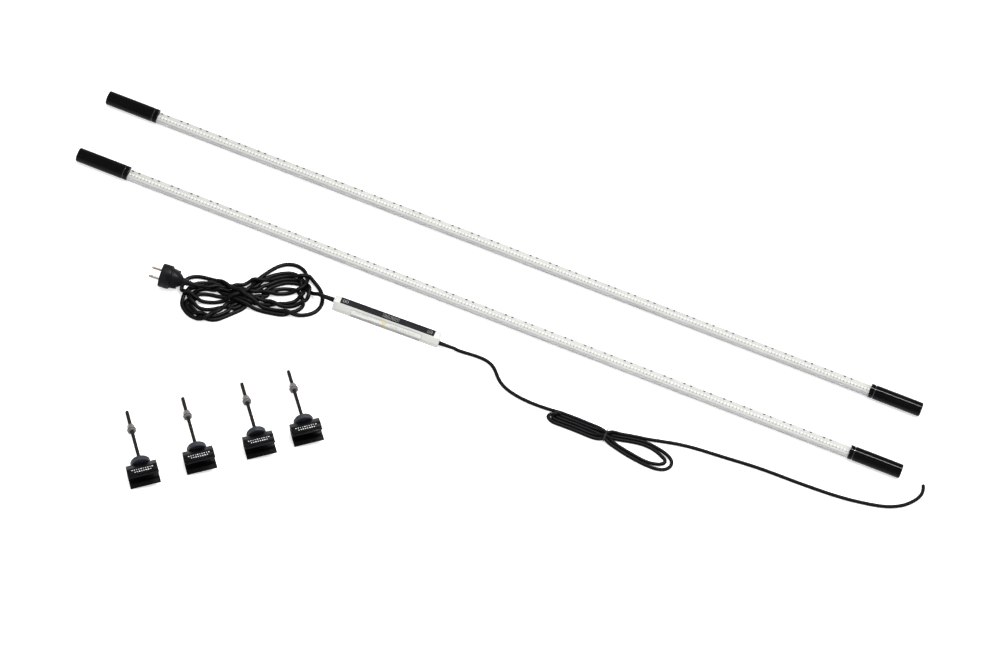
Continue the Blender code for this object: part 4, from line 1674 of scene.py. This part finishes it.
@dataclass
class Driver:
    """The slim driver: fluted case, end plates, blank nameplate, side label and glands."""

    rows: RowOfCopies
    place: Point = (-0.1455, 0.1248, 0.0)
    turn: float = math.radians(1.6)
    length: float = 185.5 * MM
    width: float = 15.6 * MM
    height: float = 25.3 * MM
    plate: float = 1.8 * MM
    groove: float = 0.35 * MM

    def at(self, facing: Facing = Facing.UP, place: Point = (0.0, 0.0, 0.0)) -> Matrix:
        """From a mesh in the driver's own space to the bench.

        Args:
            facing: Which way the mesh's axis points.
            place: Where it goes, from the middle of the driver's base.

        Returns:
            The move and turn.
        """
        home = Matrix.Translation(self.place) @ Matrix.Rotation(self.turn, 4, "Z")
        return home @ facing.matrix(place)

    def outline(self) -> list[Flat]:
        """The case's section, with two fine grooves low on each side.

        Returns:
            Points of (across, up) about the case's middle.
        """
        half_w, half_h, corner = self.width / 2, self.height / 2, 1.3 * MM
        grooves = (-7.6 * MM, -5.4 * MM)
        right: list[Flat] = []
        for height in grooves:
            right += [
                (half_w, height - 0.5 * MM), (half_w - self.groove, height - 0.2 * MM),
                (half_w - self.groove, height + 0.2 * MM), (half_w, height + 0.5 * MM),
            ]
        corners = [
            *arc((half_w - corner, half_h - corner), corner, 0, 90, 6),
            *arc((-half_w + corner, half_h - corner), corner, 90, 180, 6),
        ]
        left = [(-x, y) for x, y in reversed(right)]
        base = [
            *arc((-half_w + corner, -half_h + corner), corner, 180, 270, 6),
            *arc((half_w - corner, -half_h + corner), corner, 270, 360, 6),
        ]
        return [*right, *corners, *left, *base]

    def build_case(self) -> None:
        """The case and its end plates."""
        middle = self.height / 2
        case = prism("case", self.outline(), self.length, 0.15 * MM, 30.0)
        matrix = self.at(Facing.RIGHT, (0.0, 0.0, middle))
        piece(
            "driver_case_extrusion", case, DRIVER_ALUMINIUM, "driver",
            ["driver_case"], matrix,
        )
        plate = prism(
            "end_plate", rounded(self.width, self.height, 1.4 * MM, 6), self.plate, 0.35 * MM
        )
        for side, sign in (("left", -1), ("right", 1)):
            x = sign * (self.length / 2 + GAP + self.plate / 2)
            piece(
                f"driver_end_{side}_moulding", plate, END_ABS, "driver",
                [f"driver_end_{side}"], self.at(Facing.RIGHT, (x, 0.0, middle)),
            )

    def gland_mesh(self, lead_radius: float, neck: float) -> bpy.types.Mesh:
        """A rubber gland with its tapered, ringed sleeve.

        Args:
            lead_radius: Half of the lead.
            neck: Radius where the gland goes through the plate.

        Returns:
            The mesh, with the lead going up.
        """
        start = self.plate + 2 * GAP
        profile: list[Flat] = [(0.0, start + 20 * MM)]
        rings = 6
        pitch = 17.6 * MM / rings
        for i in reversed(range(rings)):
            radius = lead_radius + (0.85 - 0.5 * i / (rings - 1)) * MM
            top = start + 2.4 * MM + (i + 1) * pitch
            profile += [
                (radius - 0.15 * MM, top), (radius, top - 0.25 * MM), (radius, top - 0.7 * pitch),
                (radius - 0.25 * MM, top - 0.8 * pitch), (radius - 0.25 * MM, top - 0.97 * pitch),
            ]
        profile += [
            (lead_radius + 1.1 * MM, start + 2.0 * MM), (lead_radius + 1.1 * MM, start),
            (neck, start), (neck, -2 * GAP), (neck + 0.9 * MM, -2 * GAP),
            (neck + 0.9 * MM, -2 * GAP - 1.5 * MM), (0.0, -2 * GAP - 1.5 * MM),
        ]
        return lathe("gland", profile, 36)

    def build_glands(self) -> None:
        """The glands that both leads leave through."""
        sides = (
            ("inlet", Facing.LEFT, -1, 1.8 * MM, 16.5 * MM, 3.5 * MM, 3.1 * MM),
            ("outlet", Facing.RIGHT, 1, -1.4 * MM, 7.5 * MM, 2.8 * MM, 2.7 * MM),
        )
        for name, facing, sign, across, up, lead_radius, neck in sides:
            matrix = self.at(facing, (sign * self.length / 2, across, up))
            mesh = self.gland_mesh(lead_radius, neck)
            node = f"{name}_gland"
            piece(f"{node}_rubber", mesh, PLUG_PVC, "driver", [node], matrix)

    def build_nameplate(self) -> None:
        """The blank dark nameplate, with a few rows of plain ticks."""
        low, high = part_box("driver_nameplate")
        thick = high.z - low.z
        plate = prism("nameplate", rounded(168 * MM, 12.8 * MM, 0.5 * MM, 4), thick, 0.08 * MM)
        matrix = self.at(place=(0.0, 0.0, (low.z + high.z) / 2))
        piece(
            "driver_nameplate_film", plate, NAMEPLATE_FILM, "driver",
            ["driver_nameplate"], matrix,
        )
        tick = block("tick", (1.5 * MM, 0.55 * MM, 0.08 * MM), 0.0)
        top = high.z + 0.02 * MM
        ticks = []
        blocks = ((-8.0, 13, (3.2, 1.6, 0.0, -1.6, -3.2)), (72.0, 4, (3.4, 1.8, 0.2, -1.4, -3.0)))
        for number, (x, count, lines) in enumerate(blocks):
            for line, y in enumerate(lines):
                first = (x * MM, y * MM, top)
                step = (2.3 * MM, 0.0, 0.0)
                seed = SEED + 10 * number + line
                ticks.append(self.rows.lay(tick, count, first, step, LIGHT_INK, 0.25, seed))
        section = in_mm((2.6, 0.04), (2.6, -0.04), (2.1, -0.04), (2.1, 0.04))
        ring = lathe("ring", section, 32, ring=True)
        for x in (-78.0, -73.0):
            spot = ring.copy()
            spot.transform(Matrix.Translation((x * MM, 0.0, top)))
            ticks.append(spot)
        piece(
            "driver_nameplate_ticks", joined("nameplate_ticks", ticks), LIGHT_INK, "driver",
            matrix=self.at(),
        )

    def build_side_label(self) -> None:
        """The pale label on the front side: an outline, rows of ticks and a plain patch."""
        front = -self.width / 2
        film = prism("film", rounded(126 * MM, 13.0 * MM, 2.5 * MM, 6), 0.10 * MM)
        upright = Matrix.Rotation(math.pi / 2, 4, "X")
        middle = 14.2 * MM
        home = self.at(place=(1.0 * MM, front - 0.06 * MM, middle)) @ upright
        piece("driver_side_label", film, PALE_FILM, "driver", matrix=home)
        path = [Vector((x, y, 0.06 * MM)) for x, y in rounded(126 * MM, 13.0 * MM, 2.5 * MM, 6)]
        border = tube_along("border", [*path, path[0], path[1]], 0.3 * MM, 6)
        tick = block("tick", (2.2 * MM, 0.9 * MM, 0.08 * MM), 0.0)
        marks = [border]
        rows = (
            (-54.0, 20, 4.2), (-54.0, 8, 2.0), (10.0, 15, 0.4), (8.0, 17, -2.0), (-30.0, 29, -4.8)
        )
        for number, (x, count, y) in enumerate(rows):
            first = (x * MM, y * MM, 0.07 * MM)
            step = (3.0 * MM, 0.0, 0.0)
            marks.append(self.rows.lay(tick, count, first, step, GREY_INK, 0.2, SEED + number))
        rib = block("rib", (1.1 * MM, 4.4 * MM, 0.2 * MM), 0.05 * MM, 1)
        first = (-62 * MM, -10.2 * MM, 0.07 * MM)
        marks.append(self.rows.lay(rib, 62, first, (2.0 * MM, 0.0, 0.0), GREY_INK))
        marks_mesh = joined("side_label_marks", marks)
        piece("driver_side_marks", marks_mesh, GREY_INK, "driver", matrix=home)
        patch = prism("patch", rounded(7.0 * MM, 8.5 * MM, 2.6 * MM, 4), 0.08 * MM)
        patch.transform(Matrix.Translation((-4.0 * MM, 0.6 * MM, 0.08 * MM)))
        piece("driver_side_patch", patch, YELLOW_INK, "driver", matrix=home)
        profile = in_mm((0.0, 0.1), (0.5, 0.1), (0.9, 0.45), (1.9, 0.35), (2.3, 0.0), (0.0, 0.0))
        screw = lathe("screw", profile, 28)
        for x in (-84.0, 82.0):
            spot = self.at(place=(x * MM, front, 13.0 * MM)) @ upright
            name = f"driver_side_screw_{'left' if x < 0 else 'right'}"
            piece(name, screw, DRIVER_ALUMINIUM, "driver", matrix=spot)

    def build(self) -> None:
        """Make the whole driver."""
        self.build_case()
        self.build_glands()
        self.build_nameplate()
        self.build_side_label()
        dress_node("driver_circuit_board", POWER_BOARD_MASK)
        dress_node("driver_transformer", FERRITE)
        dress_node("driver_capacitor", CAN_SLEEVE)


# ---------------------------------------------------------------- hanger clips


@dataclass
class HangerClip:
    """One hanger clip: snap clamp, hub, lock nut, threaded rod, running nut and washer."""

    name: str
    rows: RowOfCopies
    clamp_length: float = 50.5 * MM
    inner: float = 12.2 * MM
    wall: float = 2.4 * MM
    saddle: float = 17.0 * MM
    hub_radius: float = 16.5 * MM
    rod_radius: float = 3.0 * MM
    rod_start: float = 2.6 * MM
    rod_end: float = 120.0 * MM
    thread_pitch: float = 1.0 * MM
    nut_start: float = 79.0 * MM
    lean: float = math.radians(11.89)

    def home(self) -> Matrix:
        """The clip's own space: Y along the rod, X along the clamp, from the swivel joint.

        Returns:
            The matrix to the row frame.
        """
        joint = next(j for j in frame["joints"] if j["name"] == f"{self.name}_swivel")
        rod = Vector(joint["axis"]).normalized()
        level = rod.cross(Vector((0.0, 0.0, 1.0))).normalized()
        above = level.cross(rod)
        across = level * math.cos(self.lean) + above * math.sin(self.lean)
        normal = across.cross(rod)
        turn = Matrix((across, rod, normal)).transposed().to_4x4()
        return Matrix.Translation(joint["pos_m"]) @ turn

    def clamp_outline(self) -> list[Flat]:
        """The clamp's C section: x towards the rod, y across.

        Returns:
            Points round the section.
        """
        centre = (-self.saddle, 0.0)
        outer = self.inner + self.wall
        lip = -self.saddle + self.inner * math.cos(math.radians(128)) - 6.5 * MM
        left = [
            (0.0, 8.2 * MM), (-0.25 * MM, 8.75 * MM), (-0.7 * MM, 9.2 * MM),
            *arc(centre, outer, 58, 125, 26), (lip + 1.4 * MM, outer),
            (lip + 0.5 * MM, outer * 0.985), (lip, outer * 0.935), (lip + 0.2 * MM, outer * 0.88),
            *arc(centre, self.inner, 128, 0, 44),
        ]
        right = [(x, -y) for x, y in reversed(left[:-1])]
        return left + right

    def build_clamp(self) -> None:
        """The snap clamp, with two lines of plain ticks on its upper wall."""
        mesh = prism("clamp", self.clamp_outline(), self.clamp_length, 0.35 * MM, 40.0)
        home = self.home()
        node = f"{self.name}_clamp"
        matrix = home @ Facing.RIGHT.matrix()
        piece(f"{node}_moulding", mesh, CLAMP_PC, self.name, [node], matrix)
        outer = self.inner + self.wall
        marks = []
        lines = ((90.0, 10, -16.5), (106.0, 8, -12.5))
        for number, (angle, count, first) in enumerate(lines):
            tick = block("tick", (2.3 * MM, 1.3 * MM, 0.08 * MM), 0.0)
            step = (3.7 * MM, 0.0, 0.0)
            row = self.rows.lay(
                tick, count, (first * MM, 0.0, 0.0), step, WHITE_INK, 0.4, SEED + number
            )
            around = math.radians(angle)
            y = -self.saddle + (outer + 0.03 * MM) * math.cos(around)
            z = (outer + 0.03 * MM) * math.sin(around)
            tilt = Matrix.Rotation(math.pi / 2 - around, 4, "X").inverted()
            row.transform(Matrix.Translation((0.0, y, z)) @ tilt)
            marks.append(row)
        ticks = joined("clamp_ticks", marks)
        piece(f"{node}_ticks", ticks, WHITE_INK, self.name, matrix=home)

    def build_hub(self) -> None:
        """The hub with its raised rim."""
        r, hole = self.hub_radius, self.rod_radius + 0.35 * MM
        profile = [
            (0.0, self.rod_start - GAP), (hole, self.rod_start - GAP), (hole, 13.0 * MM),
            (6.8 * MM, 13.0 * MM), (7.3 * MM, 12.8 * MM), (14.9 * MM, 10.1 * MM),
            (15.8 * MM, 9.7 * MM), (r - 0.25 * MM, 9.3 * MM), (r, 8.7 * MM), (r, 1.4 * MM),
            (r - 0.3 * MM, 0.7 * MM), (r - 1.0 * MM, GAP), (0.0, GAP),
        ]
        self.on_rod("hub", lathe("hub", profile, 64, sharp=14.0), HUB_NYLON)

    def on_rod(
        self, part: str, mesh: bpy.types.Mesh, finish: Finish, along: float = 0.0
    ) -> None:
        """Put a turned part on the rod's axis, in place of its CAD node.

        Args:
            part: The part's name in the record.
            mesh: Its mesh, made along +Z.
            finish: What it is dressed in.
            along: How far along the rod the mesh's origin goes.
        """
        node = f"{self.name}_{part}"
        body = f"{self.name}_nut" if part in ("nut", "washer") else f"{self.name}_rod"
        matrix = self.home() @ Facing.ALONG_ROD.matrix((0.0, along, 0.0))
        piece(f"{node}_{part}", mesh, finish, body, [node], matrix)

    def thread_mesh(self) -> bpy.types.Mesh:
        """The rod with a real helical thread, a plain foot in the hub and a chamfered tip.

        Returns:
            The mesh, with the tip up.
        """
        bm = bmesh.new()
        per_turn = 14
        root, crest = self.rod_radius - 0.5 * MM, self.rod_radius
        start, stop = 14.0 * MM, self.rod_end - 0.7 * MM
        count = int((stop - start) / self.thread_pitch * per_turn)
        valleys, ridges = [], []
        for i in range(count + 1):
            angle = 2 * math.pi * i / per_turn
            height = start + self.thread_pitch * i / per_turn
            for rows, radius, lift in (
                (valleys, root, -0.5 * self.thread_pitch), (ridges, crest, 0.0)
            ):
                place = (radius * math.cos(angle), radius * math.sin(angle), height + lift)
                rows.append(bm.verts.new(place))
        for i in range(count):
            bm.faces.new((valleys[i], valleys[i + 1], ridges[i + 1], ridges[i]))
            if i + per_turn < count:
                bm.faces.new(
                    (ridges[i], ridges[i + 1], valleys[i + per_turn + 1], valleys[i + per_turn])
                )
        thread = bpy.data.meshes.new("thread")
        bmesh.ops.recalc_face_normals(bm, faces=bm.faces)
        bm.to_mesh(thread)
        bm.free()
        tip = [
            (0.0, self.rod_end), (self.rod_radius - 0.8 * MM, self.rod_end),
            (self.rod_radius - 0.1 * MM, self.rod_end - 0.8 * MM),
            (self.rod_radius - 0.1 * MM, self.rod_end - 1.7 * MM),
            (root + 0.02 * MM, self.rod_end - 2.0 * MM), (root + 0.02 * MM, 14.6 * MM),
            (self.rod_radius, 14.0 * MM), (self.rod_radius, self.rod_start), (0.0, self.rod_start),
        ]
        return joined("rod", [lathe("core", tip, 24), thread])

    def nut_mesh(self) -> bpy.types.Mesh:
        """The running nut: hexagon with turned corners on a conical flange.

        Returns:
            The mesh, with the flange down.
        """
        bm = bmesh.new()
        flats, height, hole = 10.5 * MM, 9.5 * MM, self.rod_radius + 0.2 * MM
        hexagonal = 0.0
        sections = (
            (hole, height - 0.3 * MM), (hole + 0.35 * MM, height),
            (flats / 2 - 0.15 * MM, height), (hexagonal, height - 0.7 * MM), (hexagonal, 3.0 * MM),
            *in_mm((7.2, 1.5), (7.5, 1.1), (7.5, 0.25), (7.25, 0.0)), (hole, 0.0),
        )
        steps = 48
        rows = []
        for round_radius, z in sections:
            row = []
            for i in range(steps):
                angle = 2 * math.pi * i / steps
                inside = (angle + math.pi / 6) % (math.pi / 3) - math.pi / 6
                radius = round_radius or flats / 2 / math.cos(math.pi / 6 - abs(inside))
                row.append(bm.verts.new((radius * math.cos(angle), radius * math.sin(angle), z)))
            rows.append(row)
        for upper, lower in zip(rows, [*rows[1:], rows[0]]):
            for i in range(steps):
                j = (i + 1) % steps
                bm.faces.new((upper[i], upper[j], lower[j], lower[i]))
        return mesh_from(bm, "nut", 25.0)

    def lock_nut_mesh(self) -> bpy.types.Mesh:
        """The plain hexagon that locks the rod to the hub.

        Returns:
            The mesh about its own middle.
        """
        flats = 10.0 * MM
        corner = flats / math.sqrt(3)
        outline = [
            (corner * math.cos(math.pi * i / 3), corner * math.sin(math.pi * i / 3))
            for i in range(6)
        ]
        return prism("lock_nut", outline, 6.0 * MM, 0.5 * MM, 20.0)

    def build(self) -> None:
        """Make the whole clip."""
        self.build_clamp()
        self.build_hub()
        self.on_rod("rod", self.thread_mesh(), BLACK_OXIDE)
        along = 13.0 * MM + GAP + 3.0 * MM
        self.on_rod("lock_nut", self.lock_nut_mesh(), BLACK_OXIDE, along)
        self.on_rod("nut", self.nut_mesh(), ZINC_PLATE, self.nut_start)
        section = rounded(3.5 * MM, 3.2 * MM, 0.5 * MM, 4)
        profile = [(5.05 * MM + r, h) for r, h in section]
        washer = lathe("washer", profile, 40, ring=True)
        along = self.nut_start - GAP - 1.6 * MM
        self.on_rod("washer", washer, WASHER_EPDM, along)



def main() -> None:
    logging.basicConfig(level=logging.INFO, format="%(name)s: %(message)s")
    Studio().build()
    plug = Plug()
    MainsLead().build(plug.build())
    OutputLead().build()
    rows = RowOfCopies()
    for number in (1, 2):
        TubeLight(f"tube_{number}", rows).build()
    Driver(rows).build()
    for number in (1, 2, 3, 4):
        HangerClip(f"clip_{number}", rows).build()


if __name__ == "__main__":
    main()
